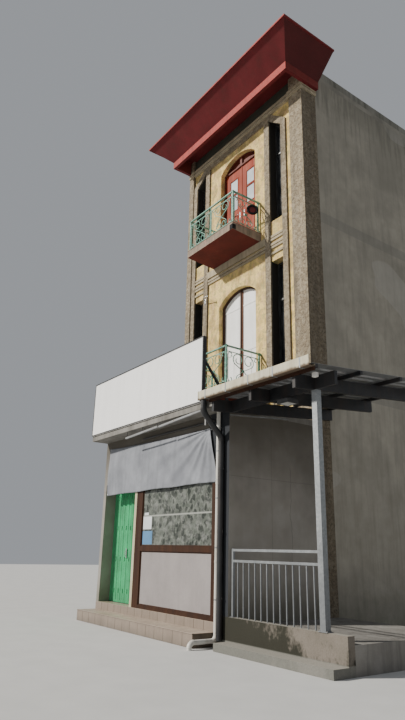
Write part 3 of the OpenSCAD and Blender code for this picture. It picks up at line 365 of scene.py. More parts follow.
def step_ceramic(name):
    """Beige ceramic of the steps, with painted shade on its risers and dirt splashed near the
    ground.
    """
    t = Coat(name, 2.4, 0.35)
    # Risers, the upright faces, are darkened as painted shade.
    riser = t.span(t.facing()[2], 0.5, 0.3)
    splash = t.marks("ground_dirt", Level=0.0, Reach=0.22)["Mask"]
    t.start((0.43, 0.355, 0.285), (0.35, 0.285, 0.225))
    t.lay(
        (t.streak, 0.35, (0.17, 0.13, 0.10)),
        (t.speck, 0.3, (0.33, 0.27, 0.21)),
        (riser, 0.62, (0.145, 0.115, 0.095)),
        (splash, 0.5, (0.10, 0.085, 0.07)),
    )
    return t.close(t.between(t.speck, 0.36, 0.52), t.relief, 0.12, 0.02)


def yellow_stone(name):
    """Cream-yellow stone facing, mottled pink, green and grey, with fine pits.

    Its topmost edge is the frieze's own grey-green, darkened further as painted shade under the
    cornice, and the reveals of the slot windows carry painted shade.
    """
    t = Coat(name, 1.6)
    across, _, up = t.axes(t.place)
    patch = t.noise(t.stretch(t.place, (1.0, 1.0, 0.6)), 3.4, 5.0, 0.65)
    tint = t.noise(t.place, 6.5, 4.0, 0.6)
    pit = t.noise(t.place, 15.0, 6.0, 0.75)
    # The slot windows' reveals, beyond 1.2 m from the middle and facing sideways, get painted
    # shade in the recess.
    outer = t.span(t.calc("ABSOLUTE", across), 1.2, 1.21)
    reveal = t.span(t.calc("ABSOLUTE", t.facing()[0]), 0.5, 0.6)
    t.start(settings().paints.stone, (0.47, 0.33, 0.115), t.span(patch, 0.42, 0.58))
    t.lay(
        (t.span(tint, 0.52, 0.61), 0.7, (0.74, 0.50, 0.27)),
        (t.span(tint, 0.47, 0.38), 0.7, (0.38, 0.34, 0.15)),
        (t.span(pit, 0.55, 0.66), 0.85, (0.20, 0.16, 0.095)),
        (t.speck, 0.3, (0.40, 0.33, 0.21)),
        (t.streak, 0.3, (0.24, 0.21, 0.15)),
        # Above 12.33 m: the frieze's grey-green, with painted shade under the cornice.
        (t.span(up, 12.33, 12.345), 1.0, (0.065, 0.07, 0.055)),
        (outer, reveal, (0.035, 0.032, 0.028)),
    )
    height = t.calc("MULTIPLY_ADD", patch, 0.5, t.relief)
    height = t.calc("SUBTRACT", height, t.span(pit, 0.56, 0.68, 0.0, 0.4))
    return t.close(t.between(t.speck, 0.78, 0.94), height, 0.55, 0.03)


def rough_stone(name):
    """Grey-brown washed aggregate of the piers and of the strips beside the windows."""
    t = Coat(name, 1.1)
    small_tone, small_head = t.marks("aggregate", Size=0.022)
    large_tone, large_head = t.marks("aggregate", Size=0.055)
    pore = t.noise(t.place, 21.0, 4.0, 0.7)
    # Faces that look towards +X are darkened: painted shade on the sides of the piers and strips.
    shaded_side = t.span(t.facing()[0], 0.5, 0.7)
    t.start(settings().paints.aggregate, (0.15, 0.12, 0.085), small_tone)
    t.lay(
        (t.span(large_tone, 0.4, 0.9), 0.6, (0.46, 0.40, 0.30)),
        (t.blotch, 0.4, (0.20, 0.17, 0.12)),
        (t.streak, 0.55, (0.10, 0.085, 0.065)),
        (t.span(pore, 0.60, 0.66), 0.8, (0.055, 0.046, 0.035)),
        (shaded_side, 0.5, (0.060, 0.052, 0.042)),
    )
    return t.close(0.93, t.calc("MULTIPLY_ADD", large_head, 0.6, small_head), 0.7, 0.008)


def side_plaster(name):
    """Painted plaster, with painted shade under the roof, dirt above the ground, seams and a
    crack.

    The narrow face towards the street, behind the rain pipe, is near black.
    """
    t = Coat(name, 1.0)
    across, along, up = t.axes(t.place)
    cloud = t.noise(t.place, 0.9, 4.0, 0.6)
    # Painted shade under the roof: the wall darkens from 2.5 m up to 4.2 m.
    crown = t.span(t.calc("MULTIPLY_ADD", cloud, 0.9, up), 2.5, 4.2)
    dirt = t.marks("ground_dirt", Level=0.45, Reach=0.9)["Mask"]
    seam_width = (0.0015, 0.005)
    seams = t.calc("MAXIMUM", t.near(along, -1.21, *seam_width), t.near(up, 2.74, *seam_width))
    bent = t.noise(t.stretch(t.place, (0.0, 0.0, 1.6)), 1.0, 5.0, 0.6)
    run = t.calc("ADD", along, t.calc("MULTIPLY_ADD", bent, 0.32, 0.57))
    ends = t.calc("MULTIPLY", t.span(up, 1.2, 1.25), t.span(up, 3.0, 3.05, 1.0, 0.0))
    crack = t.calc("MULTIPLY", t.near(run, 0.0, 0.001, 0.005), ends)
    lines = t.calc("MAXIMUM", t.calc("MULTIPLY", seams, 0.6), crack)
    street = t.calc("MULTIPLY", t.span(across, 1.9, 2.0), t.span(t.facing()[1], -0.5, -0.6))
    t.start((0.345, 0.325, 0.295), (0.25, 0.235, 0.21), t.span(cloud, 0.35, 0.65))
    t.lay(
        (t.blotch, 0.3, (0.22, 0.20, 0.17)),
        (t.streak, 0.12, (0.15, 0.12, 0.09)),
        (crown, 0.8, (0.075, 0.066, 0.052)),
        (dirt, 0.6, (0.13, 0.125, 0.09)),
        (lines, 0.7, (0.05, 0.045, 0.04)),
        (street, 1.0, (0.030, 0.033, 0.038)),
    )
    return t.close(0.85, t.calc("SUBTRACT", t.relief, lines), 0.22, 0.01)


def party_plaster(name):
    """Bare cement plaster of the blind walls: clouds, repairs, runs and the floors' edges."""
    t = Coat(name, 1.5)
    up = t.axes(t.place)[2]
    cloud = t.noise(t.place, 0.55, 6.0, 0.65)
    repair = t.noise(t.stretch(t.place, (0.5, 0.5, 0.9)), 1.0, 1.0, 0.3)
    edges = t.calc("MAXIMUM", *(t.near(up, level, 0.13, 0.14) for level in FLOOR_LEVELS))
    dirt = t.marks("ground_dirt", Level=0.0, Reach=1.4)["Mask"]
    crown = t.span(t.calc("ADD", up, t.streak), 12.2, 13.2)
    t.start((0.37, 0.345, 0.29), (0.26, 0.245, 0.205), t.span(cloud, 0.38, 0.62))
    t.lay(
        (t.blotch, 0.4, (0.22, 0.205, 0.17)),
        (t.streak, 0.3, (0.14, 0.13, 0.11)),
        (t.span(repair, 0.655, 0.665), 0.35, (0.41, 0.395, 0.36)),
        (edges, 0.35, (0.17, 0.165, 0.15)),
        (dirt, 0.6, (0.11, 0.112, 0.085)),
        (crown, 0.45, (0.10, 0.098, 0.08)),
    )
    height = t.calc("SUBTRACT", t.relief, t.calc("MULTIPLY", edges, 0.3))
    return t.close(0.9, height, 0.35, 0.02)


def mossy_concrete(name):
    """Low wall and kerb: paler on faces that look up, over blue-black stained sides."""
    t = Coat(name, 2.2)
    across, _, up = t.axes(t.place)
    cloud = t.noise(t.stretch(t.place, (1.6, 1.6, 1.0)), 1.7, 6.0, 0.7)
    moss = t.calc("ADD", cloud, t.span(across, 2.7, 4.4, 0.34, -0.10))
    moss = t.calc("ADD", moss, t.span(up, 0.14, 0.46, 0.12, -0.04))
    kerb = t.span(up, 0.125, 0.14, 1.0, 0.0)
    # Faces that look up are made paler.
    top = t.span(t.facing()[2], 0.4, 0.8)
    t.start((0.225, 0.195, 0.17), (0.165, 0.145, 0.12), t.span(cloud, 0.35, 0.65))
    t.lay(
        (t.blotch, 0.35, (0.13, 0.12, 0.095)),
        (t.span(moss, 0.46, 0.60), 0.94, (0.018, 0.019, 0.013)),
        (kerb, 0.75, (0.21, 0.21, 0.19)),
        (top, 0.8, (0.34, 0.32, 0.28)),
        (t.speck, 0.28, (0.055, 0.052, 0.040)),
    )
    return t.close(0.9, t.relief, 0.5, 0.02)


def roofing_felt(t):
    """Tone of the felt on the roof: lapped sheets and dried puddles."""
    half_sheet = 0.5
    laps = t.near(t.calc("PINGPONG", t.axes(t.place)[1], half_sheet), 0.0, 0.0, 0.02)
    puddle = t.span(t.noise(t.place, 0.45, 5.0, 0.6), 0.53, 0.60)
    t.start((0.21, 0.205, 0.185), (0.125, 0.122, 0.108))
    t.lay(
        (t.speck, 0.4, (0.085, 0.085, 0.07)),
        (laps, 0.75, (0.045, 0.045, 0.04)),
        (puddle, 0.6, (0.070, 0.075, 0.055)),
    )
    return t.base


def cornice_paint(name):
    """Maroon paint with scuffs, with painted sunlight that makes upright faces paler and painted
    shade on faces that look towards +X.

    Its top carries roofing felt, and behind the right pier it gives way to plaster.
    """
    t = Coat(name, 1.3)
    felt = roofing_felt(t)
    plaster = t.mix(t.blotch, (0.27, 0.255, 0.215), (0.17, 0.16, 0.135))
    paint = settings().paints.cornice
    aside, _, level = t.facing()
    # Painted sunlight: upright faces such as the fascia are made paler.
    upright = t.span(t.calc("ABSOLUTE", level), 0.25, 0.1)
    scuff, rim = t.marks("chipped_coat", Scale=1.9, Amount=0.17)
    pier_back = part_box("right_pier")[1].y
    behind = t.span(t.axes(t.place)[1], pier_back + 0.002, pier_back + 0.004)
    t.start(paint, [part * 1.35 for part in paint])
    t.lay(
        (upright, 0.62, (0.50, 0.082, 0.066)),
        (t.streak, 0.35, (0.075, 0.025, 0.02)),
        # Painted shade on faces that look towards +X.
        (t.span(aside, 0.3, 0.55), 0.6, (0.045, 0.014, 0.013)),
        (scuff, 0.5, (0.30, 0.15, 0.14)),
        (rim, 0.3, (0.22, 0.08, 0.075)),
        (t.span(level, 0.7, 0.9), 1.0, felt),
        (behind, t.span(level, 0.6, 0.5), plaster),
    )
    return t.close(t.between(t.speck, 0.6, 0.8), t.relief, 0.25, 0.015)


def balcony_render(name):
    """Rough render on a slab's edges and top, maroon paint on its underside."""
    t = Coat(name, 2.6)
    chip = t.marks("chipped_coat", Scale=4.0, Amount=0.35)["Bare"]
    t.start((0.155, 0.034, 0.027), (0.11, 0.029, 0.023))
    t.lay((chip, 0.25, (0.16, 0.08, 0.06)))
    paint = t.base
    t.start((0.36, 0.27, 0.21), (0.22, 0.18, 0.14))
    t.lay(
        (t.streak, 0.6, (0.10, 0.085, 0.07)),
        (chip, 0.6, (0.42, 0.24, 0.19)),
        (t.span(t.facing()[2], -0.5, -0.8), 1.0, paint),
    )
    return t.close(0.88, t.relief, 0.45, 0.02)


def railing_iron(name):
    """Teal-green paint on wrought iron, worn to a chalky white on the scrolls."""
    t = Coat(name, 3.0, 0.4)
    green = settings().paints.iron
    chalk = t.noise(t.place, 16.0, 5.0, 0.7)
    chip, rim = t.marks("chipped_coat", Scale=22.0, Amount=0.36)
    t.start(green, [part * 0.6 for part in green])
    t.lay(
        (t.span(chalk, 0.47, 0.62), 0.75, (0.42, 0.55, 0.46)),
        (rim, 1.0, (0.45, 0.56, 0.48)),
        (chip, 1.0, (0.10, 0.045, 0.025)),
    )
    return t.close(t.between(chip, 0.5, 0.85), t.calc("SUBTRACT", chalk, chip), 0.3, 0.002)


def papered_glass(name):
    """Shop glass pasted over from inside with creased sheets that meet in a joint."""
    t = Coat(name)
    across, _, up = t.axes(t.place)
    low, high = SHOP_FRONT
    joint_z = low.z + 0.70 * (high.z - low.z)
    creases = t.noise(t.place, 7.0, 8.0, 0.8)
    mottle = t.noise(t.stretch(t.place, (1.0, 1.0, 1.4)), 3.6, 6.0, 0.7)
    flat, fold = t.group("aggregate", t.stretch(t.place, (1.0, 1.0, 0.85)), Size=0.09)
    half_sheet = 0.31
    sheet_edge = t.calc("PINGPONG", t.calc("ADD", across, 5.0), half_sheet)
    # The paper's tones are partly its own and partly darkened as painted shade on the shop front.
    t.start((0.035, 0.040, 0.035), (0.115, 0.122, 0.112), t.span(mottle, 0.42, 0.58))
    t.lay(
        (t.span(creases, 0.50, 0.60), 0.8, (0.20, 0.207, 0.19)),
        (t.span(creases, 0.46, 0.38), 0.75, (0.022, 0.025, 0.021)),
        (t.span(flat, 0.62, 0.66), 0.35, (0.175, 0.195, 0.165)),
        (t.span(flat, 0.30, 0.26), 0.65, (0.024, 0.029, 0.023)),
        (t.span(fold, 0.0, 0.16, 1.0, 0.0), 0.25, (0.22, 0.235, 0.205)),
        (t.span(sheet_edge, 0.0, 0.012, 1.0, 0.0), 0.4, (0.07, 0.07, 0.06)),
        (t.near(up, joint_z, 0.0, 0.022), 1.0, (0.36, 0.37, 0.34)),
    )
    return t.close(t.span(creases, 0.3, 0.7, 0.1, 0.3), creases, 0.12, 0.01, varnish=0.35)


def galvanised(name):
    """Zinc-coated steel: spangled above, dull and dark where hands and rain reach it."""
    t = Coat(name, 2.4, 0.5)
    spangle = t.marks("aggregate", Size=0.03)["Tone"]
    dull = t.marks("ground_dirt", Level=1.1, Reach=1.4)["Mask"]
    rust = t.marks("chipped_coat", Scale=13.0, Amount=0.2)["Bare"]
    t.start((0.26, 0.28, 0.29), (0.35, 0.37, 0.38), spangle)
    t.lay(
        (t.blotch, 0.4, (0.17, 0.18, 0.19)),
        (dull, 0.6, (0.085, 0.09, 0.10)),
        (rust, 1.0, (0.13, 0.065, 0.035)),
    )
    return t.close(t.between(t.speck, 0.36, 0.6), t.relief, 0.1, 0.002, 0.35)


def banner_cloth(name):
    """Bare white banner cloth, its tones darkened to grey as painted shade, greyed further in
    patches and in runs, with its weave.
    """
    t = Coat(name, 1.5)
    along = t.add("ShaderNodeUVMap", uv_map="cloth").outputs[0]
    thread = t.group("weave", along, Threads=260.0)["Thread"]
    # White cloth given grey tones: painted shade.
    t.start((0.255, 0.267, 0.295), (0.175, 0.184, 0.206))
    t.lay((t.streak, 0.25, (0.10, 0.104, 0.115)), (thread, 0.06, (0.12, 0.125, 0.135)))
    return t.close(0.62, t.calc("MULTIPLY_ADD", thread, 0.1, t.speck), 0.1, 0.002)


def gutter_paint(name):
    """Cream paint on a sheet gutter, rusty along its lower lip."""
    t = Coat(name, 2.0)
    rust_height = 0.11
    ragged = t.noise(t.stretch(t.place, (3.0, 3.0, 1.0)), 2.2, 6.0, 0.7)
    above = t.calc("SUBTRACT", t.axes(t.place)[2], GUTTER[0].z)
    rust = t.calc("SUBTRACT", t.calc("MULTIPLY", ragged, rust_height), above)
    rust = t.span(rust, 0.008, 0.04)
    t.start((0.62, 0.585, 0.45), (0.50, 0.46, 0.34))
    t.lay((t.streak, 0.5, (0.28, 0.22, 0.15)), (rust, 0.85, (0.060, 0.030, 0.018)))
    return t.close(t.between(rust, 0.5, 0.9), t.relief, 0.3, 0.006)


# Each slot's recipe, then its tones and options; a tone given by name is one of the settings.
FINISHES = {
    "floor_tile": (floor_tiles, (0.40, 0.33, 0.26), (0.30, 0.25, 0.19), (0.10, 0.08, 0.06)),
    "step_tile": (step_ceramic,),
    "tile_joint": (masonry, (0.16, 0.13, 0.10), (0.10, 0.08, 0.06), (0.06, 0.05, 0.04)),
    "plaster": (side_plaster,),
    "party_plaster": (party_plaster,),
    "concrete": (masonry, (0.27, 0.26, 0.24), (0.19, 0.18, 0.165), (0.085, 0.08, 0.07),
                 dict(size=1.5, streaks=0.6, relief=0.4, rough=0.9)),
    "roof_concrete": (masonry, (0.27, 0.26, 0.23), (0.18, 0.175, 0.15), (0.06, 0.065, 0.05),
                      dict(size=1.1, streaks=0.7, relief=0.45, rough=0.92)),
    "stained_concrete": (mossy_concrete,),
    # brown_timber: the shop window frame's dark brown, darkened further as painted shade on the
    # shop front.
    "brown_timber": (timber, (0.050, 0.019, 0.008), (0.026, 0.011, 0.006), (0.075, 0.040, 0.024)),
    "dark_timber": (timber, (0.085, 0.040, 0.026), (0.045, 0.022, 0.015), (0.17, 0.12, 0.09),
                    dict(chips=0.3)),
    "mullion_timber": (timber, (0.25, 0.115, 0.068), (0.17, 0.075, 0.045), (0.33, 0.20, 0.14),
                       dict(chips=0.3)),
    "red_timber": (timber, (0.15, 0.028, 0.016), (0.09, 0.018, 0.011), (0.22, 0.10, 0.07),
                   dict(chips=0.25)),
    "orange_timber": (timber, "door", (0.22, 0.030, 0.010), (0.36, 0.14, 0.08),
                      dict(chips=0.25, rough=0.5)),
    # panel_board: its tones are partly its own and partly darkened as painted shade on the shop
    # front.
    "panel_board": (sheet_board, (0.30, 0.275, 0.272), (0.25, 0.228, 0.225), (0.165, 0.145, 0.13)),
    "white_board": (sheet_board, (0.93, 0.93, 0.92), (0.86, 0.86, 0.84), (0.48, 0.46, 0.42),
                    dict(rough=0.55, runs=0.3)),
    "shop_glass": (papered_glass,),
    "clear_glass": (pane, (0.46, 0.50, 0.53), (0.66, 0.69, 0.71)),
    "dark_glass": (pane, (0.012, 0.013, 0.015), (0.042, 0.045, 0.048)),
    "cream_paint": (painted, (0.46, 0.42, 0.27), (0.52, 0.48, 0.34), (0.20, 0.13, 0.07),
                    dict(amount=0.2)),
    "green_shutter": (painted, "shutter", (0.05, 0.30, 0.13), (0.05, 0.06, 0.04),
                      dict(amount=0.15, scale=6.0, rough=0.35)),
    "sign_face": (sheet_board, (0.95, 0.95, 0.945), (0.90, 0.90, 0.89), (0.56, 0.54, 0.51),
                  dict(rough=0.35, runs=0.15)),
    "dark_steel": (painted, (0.013, 0.014, 0.016), (0.028, 0.029, 0.031), (0.07, 0.04, 0.025),
                   dict(amount=0.18)),
    "grey_steel": (galvanised,),
    "bright_steel": (painted, (0.50, 0.51, 0.51), (0.42, 0.42, 0.41), (0.20, 0.13, 0.09),
                     dict(amount=0.3, scale=9.0, rough=0.35, metallic=0.7)),
    "banner_cloth": (banner_cloth,),
    "ribbed_sheet": (painted, (0.24, 0.25, 0.26), (0.31, 0.32, 0.32), (0.17, 0.10, 0.06),
                     dict(amount=0.2, scale=3.0, rough=0.4, metallic=0.5)),
    "gutter_paint": (gutter_paint,),
    "lamp_case": (painted, (0.035, 0.036, 0.038), (0.06, 0.06, 0.06), (0.11, 0.10, 0.09),
                  dict(amount=0.12)),
    "lamp_lens": (pane, (0.55, 0.56, 0.54), (0.66, 0.66, 0.63), dict(rough=0.15)),
    "yellow_stone": (yellow_stone,),
    "rough_stone": (rough_stone,),
    "moulding_stone": (masonry, (0.47, 0.40, 0.28), (0.34, 0.29, 0.20), (0.15, 0.13, 0.10),
                       dict(size=2.6)),
    "maroon_paint": (cornice_paint,),
    "balcony_stone": (balcony_render,),
    "green_iron": (railing_iron,),
    "grey_aluminium": (painted, (0.075, 0.078, 0.080), (0.12, 0.12, 0.12), (0.05, 0.045, 0.04),
                       dict(amount=0.1, scale=9.0, rough=0.4, metallic=0.6)),
    "back_door_paint": (painted, (0.15, 0.14, 0.11), (0.20, 0.19, 0.16), (0.11, 0.05, 0.03),
                        dict(amount=0.28)),
    "white_pipe": (sheet_board, (0.74, 0.73, 0.69), (0.60, 0.58, 0.53), (0.30, 0.26, 0.20),
                   dict(rough=0.4, runs=0.5)),
    "dark_rubber": (masonry, (0.020, 0.020, 0.022), (0.012, 0.012, 0.013), (0.04, 0.038, 0.035),
                    dict(size=4.0)),
    "red_centre": (painted, (0.20, 0.020, 0.018), (0.13, 0.018, 0.016), (0.05, 0.02, 0.015),
                   dict(amount=0.2)),
    "bare_paper": (sheet_board, (0.66, 0.68, 0.70), (0.56, 0.58, 0.60), (0.40, 0.40, 0.40),
                   dict(rough=0.7, runs=0.15)),
    "blue_paper": (sheet_board, (0.10, 0.24, 0.42), (0.08, 0.19, 0.34), (0.06, 0.12, 0.20),
                   dict(rough=0.7)),
}


def finish(slot):
    """The material of a slot, made the first time that it is asked for."""
    made = bpy.data.materials.get("finish_" + slot)
    if made:
        return made
    recipe, *tones = FINISHES[slot]
    options = tones.pop() if tones and isinstance(tones[-1], dict) else {}
    paints = settings().paints
    tones = [getattr(paints, tone) if isinstance(tone, str) else tone for tone in tones]
    return recipe(slot, *tones, **options)


# -------------------------------------------------------------- mesh making


def about(middle, half):
    """Both ends of a length with this middle and half this long."""
    return middle - half, middle + half


def rectangle(x, z, inset=0.0):
    """Corners of a rectangle that is drawn in by an inset."""
    left, right, low, high = x[0] + inset, x[1] - inset, z[0] + inset, z[1] - inset
    return (left, low), (right, low), (right, high), (left, high)


def spokes(side, other, count):
    """Directions spread evenly round a circle."""
    turns = [math.tau * k / count for k in range(count)]
    return [side * math.cos(turn) + other * math.sin(turn) for turn in turns]


class Shape:
    """The mesh of one piece while it's made; each form that is added gives the shape back."""

    def __init__(self):
        self.mesh = bmesh.new()

    def box(self, x, y, z, bevel):
        """Block between two values on each axis, its edges softened by a small bevel."""
        low, high = (Vector(corner) for corner in zip(sorted(x), sorted(y), sorted(z)))
        size, middle = high - low, (low + high) / 2
        verts = bmesh.ops.create_cube(self.mesh, size=1.0)["verts"]
        for vert in verts:
            vert.co = middle + Vector(part * side for part, side in zip(vert.co, size))
        edges = {edge for vert in verts for edge in vert.link_edges}
        bmesh.ops.bevel(self.mesh, geom=list(edges), offset=bevel, segments=2, affect="EDGES",
                        profile=0.5)
        return self

    def loft(self, rings):
        """Skin over rings of equally many points, with flat ends."""
        loops = [[self.mesh.verts.new(point) for point in ring] for ring in rings]
        for one, two in zip(loops, loops[1:]):
            for i in range(len(one)):
                j = (i + 1) % len(one)
                self.mesh.faces.new((one[i], one[j], two[j], two[i]))
        self.mesh.faces.new(loops[0][::-1])
        self.mesh.faces.new(loops[-1])
        return self

    def tube(self, points, radius, sides=8):
        """Round bar along a line of points."""
        points = [Vector(point) for point in points]
        rings, side = [], None
        for before, point, after in zip(points[:1] + points, points, points[1:] + points[-1:]):
            along = (after - before).normalized()
            side = side or along.orthogonal().normalized()
            side = (side - along * side.dot(along)).normalized()
            rings.append([point + radius * s for s in spokes(side, along.cross(side), sides)])
        return self.loft(rings)

    def lathe(self, centre, axis, profile, sides):
        """Turned form: profile holds pairs of radius and distance along the axis."""
        smallest = 0.0004
        centre, axis = Vector(centre), Vector(axis).normalized()
        side = axis.orthogonal().normalized()
        round_ring = spokes(side, axis.cross(side), sides)
        return self.loft([[centre + axis * along + max(radius, smallest) * s for s in round_ring]
                          for radius, along in profile])

    def section(self, outline, x):
        """Outline in Y and Z that is pushed along X."""
        return self.loft([[(end, a, b) for a, b in outline] for end in x])

    def piece(self, name, slot, smooth=False):
        """Links the shape as a piece of the building, with its finish and slot."""
        bmesh.ops.remove_doubles(self.mesh, verts=self.mesh.verts, dist=1e-5)
        bmesh.ops.recalc_face_normals(self.mesh, faces=self.mesh.faces)
        return link_piece(name, slot, mesh_data(name, self.mesh), smooth)


def mesh_data(name, mesh):
    """Blender's own mesh of what was made."""
    data = bpy.data.meshes.new(name)
    mesh.to_mesh(data)
    mesh.free()
    return data


def link_object(name, data):
    """An object in the scene with this data."""
    thing = bpy.data.objects.new(name, data)
    bpy.context.scene.collection.objects.link(thing)
    return thing


def link_piece(name, slot, data, smooth=False):
    """A mesh as a piece of the building, with its finish and slot."""
    data.materials.clear()
    data.materials.append(finish(slot))
    data.shade_smooth() if smooth else data.shade_flat()
    piece = link_object(name, data)
    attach(piece, "root")
    return piece


# What the two Geometry Nodes trees take, besides the mesh that they work on and its finish.
ROW_INPUTS = {
    "Start": (VECTOR, (0.0, 0.0, 0.0)),
    "Columns": (INTEGER, 2),
    "Column Step": (VECTOR, (1.0, 0.0, 0.0)),
    "Rows": (INTEGER, 1),
    "Row Step": (VECTOR, (0.0, 0.0, 1.0)),
    "Looseness": (FLOAT, 0.0),
}
BAR_INPUTS = {"Radius": (FLOAT, 0.01), "Sides": (INTEGER, 8)}


def repeat_in_rows(t, given, piece):
    """Nodes that lay copies of a piece out in rows and columns, each turned a little."""
    rows = t.add("GeometryNodeMeshLine", {
        "Count": given["Rows"], "Offset": given["Row Step"], "Start Location": given["Start"],
    }, mode="OFFSET")
    columns = t.add("GeometryNodeMeshLine", {
        "Count": given["Columns"], "Offset": given["Column Step"]}, mode="OFFSET")
    feeds = {"Points": rows.outputs[0], "Instance": columns.outputs[0]}
    grid = t.add("GeometryNodeInstanceOnPoints", feeds)
    grid = t.add("GeometryNodeRealizeInstances", {0: grid.outputs[0]})
    feeds = {"Seed": LOOSENESS_SEED, 0: (-1.0, -1.0, -1.0), 1: (1.0, 1.0, 1.0)}
    turn = t.add("FunctionNodeRandomValue", feeds, data_type="FLOAT_VECTOR")
    feeds = {0: turn.outputs[0], "Scale": given["Looseness"]}
    turn = t.add("ShaderNodeVectorMath", feeds, operation="SCALE")
    feeds = {"Points": grid.outputs[0], "Instance": piece, "Rotation": turn.outputs[0]}
    return t.add("GeometryNodeInstanceOnPoints", feeds).outputs[0]


def bar_along_line(t, given, line):
    """Nodes that run a round bar along the edges of a line."""
    curve = t.add("GeometryNodeMeshToCurve", {"Mesh": line})
    feeds = {"Resolution": given["Sides"], "Radius": given["Radius"]}
    ring = t.add("GeometryNodeCurvePrimitiveCircle", feeds)
    feeds = {"Curve": curve.outputs[0], "Profile Curve": ring.outputs[0], "Fill Caps": True}
    return t.add("GeometryNodeCurveToMesh", feeds).outputs[0]


def growing_tree(make, inputs):
    """Geometry Nodes that end in real geometry with its finish, built once for each maker."""
    name = make.__name__
    if name in bpy.data.node_groups:
        return bpy.data.node_groups[name]
    inputs = {"Source": ("NodeSocketObject", None), **inputs,
              "Finish": ("NodeSocketMaterial", None)}
    group = new_group(name, "GeometryNodeTree", inputs, {"Geometry": ("NodeSocketGeometry", None)})
    t = Tree(group)
    given = t.add("NodeGroupInput").outputs
    source = t.add("GeometryNodeObjectInfo", {"Object": given["Source"]}).outputs["Geometry"]
    solid = t.add("GeometryNodeRealizeInstances", {0: make(t, given, source)})
    feeds = {"Geometry": solid.outputs[0], "Material": given["Finish"]}
    finished = t.add("GeometryNodeSetMaterial", feeds)
    t.feed(t.add("NodeGroupOutput").inputs[0], finished.outputs[0])
    return group


def grown(name, slot, tree, mesh, values, smooth):
    """Runs a Geometry Nodes tree on a mesh and keeps its result as a plain piece."""
    source = link_object("source", mesh_data("source", mesh))
    holder = link_object(name, bpy.data.meshes.new(name + "_base"))
    modifier = holder.modifiers.new("grow", "NODES")
    modifier.node_group = tree
    values = {"Source": source, "Finish": finish(slot), **values}
    for socket in tree.interface.items_tree:
        if socket.in_out == "INPUT":
            modifier[socket.identifier] = values[socket.name]
    graph = bpy.context.evaluated_depsgraph_get()
    data = bpy.data.meshes.new_from_object(holder.evaluated_get(graph))
    for thing in (holder, source):
        bpy.data.objects.remove(thing)
    if not data.polygons:
        raise RuntimeError(name + ": the node tree made nothing")
    data.name = name
    return link_piece(name, slot, data, smooth)


def in_rows(name, slot, shape, start, columns, column_step, rows=1, row_step=UP,
            loose=0.0, smooth=False):
    """Copies of a shape in rows and columns, as one piece."""
    tree = growing_tree(repeat_in_rows, ROW_INPUTS)
    values = (start, columns, column_step, rows, row_step, loose)
    return grown(name, slot, tree, shape.mesh, dict(zip(ROW_INPUTS, values)), smooth)


def bars(name, slot, lines, radius, sides=8):
    """Round bars along several lines of points, as one piece."""
    mesh = bmesh.new()
    for line in lines:
        verts = [mesh.verts.new(point) for point in line]
        for ends in zip(verts, verts[1:]):
            mesh.edges.new(ends)
    tree = growing_tree(bar_along_line, BAR_INPUTS)
    return grown(name, slot, tree, mesh, {"Radius": radius, "Sides": sides}, True)


# ----------------------------------------------------------------- settings


def paint(label, about_it, tone):
    """A setting that holds a colour."""
    return FloatVectorProperty(name=label, description=about_it, default=tone, size=3,
                               subtype="COLOR", min=0.0, max=1.0)


def length(label, about_it, value, least, most):
    """A setting that holds a length."""
    return FloatProperty(name=label, description=about_it, default=value, min=least, max=most,
                         unit="LENGTH", subtype="DISTANCE")


class PaintSettings(bpy.types.PropertyGroup):
    """Colours that a user would change first."""

    stone: paint("Stone facing", "Main tone of the yellow stone facing", (0.94, 0.70, 0.25))
    aggregate: paint("Aggregate", "Main tone of the piers and strips", (0.36, 0.29, 0.195))
    cornice: paint("Cornice", "Paint of the flared cornice", (0.112, 0.0155, 0.0175))
    iron: paint("Railing", "Paint of the balcony railings", (0.11, 0.36, 0.27))
    door: paint("Balcony doors", "Paint of the glazed balcony doors", (0.33, 0.038, 0.011))
    shutter: paint("Folding shutter", "Paint of the folding shutter", (0.05, 0.47, 0.19))


class ShopfrontSettings(bpy.types.PropertyGroup):
    """Sizes of the shopfront's small pieces."""

    tile_width: length("Tile width", "Width of a step tile with its joint", 0.293, 0.1, 0.6)
    tile_joint: length("Tile joint", "Width of the joints between tiles", 0.006, 0.002, 0.02)
    banner_sag: length("Banner sag", "How far the banner's top edge hangs down", 0.055, 0.0, 0.1)
    banner_fold: length("Banner folds", "Depth of the folds in the banner", 0.019, 0.0, 0.022)
    bead: length("Glazing bead", "Width of the shop window's beads", 0.02, 0.01, 0.04)


class FacadeSettings(bpy.types.PropertyGroup):
    """Sizes of the small pieces on the tower's front and on its balconies."""

    petals: IntProperty(
        name="Petals", description="Number of petals on a railing rosette",
        default=6, min=3, max=12)
    petal_length: length("Petal length", "Length of a rosette's petal", 0.042, 0.02, 0.08)
    door_moulding: length("Door moulding", "Width of the leaves' mouldings", 0.024, 0.01, 0.05)
    ring: length("Hung ring", "Diameter of the ring on the upper railing", 0.30, 0.1, 0.5)


class StageSettings(bpy.types.PropertyGroup):
    """Light and camera of the stage."""

    key: FloatProperty(
        name="Key light", description="Strength of the soft key light",
        default=5.9, min=0.0, max=20.0)
    sky: FloatProperty(
        name="Sky light", description="Strength of the pale light from all round",
        default=0.38, min=0.0, max=5.0)
    lens: FloatProperty(
        name="Lens", description="Focal length of the camera",
        default=29.0, min=10.0, max=200.0, unit="CAMERA")
    floor_size: length("Floor", "Side of the pale floor", 90.0, 10.0, 500.0)


class CornerShopSettings(bpy.types.PropertyGroup):
    """All sizes and colours of the corner shop building's looks."""

    paints: PointerProperty(type=PaintSettings)
    shopfront: PointerProperty(type=ShopfrontSettings)
    facade: PointerProperty(type=FacadeSettings)
    stage: PointerProperty(type=StageSettings)


# ------------------------------------------------------- shapes of the pieces


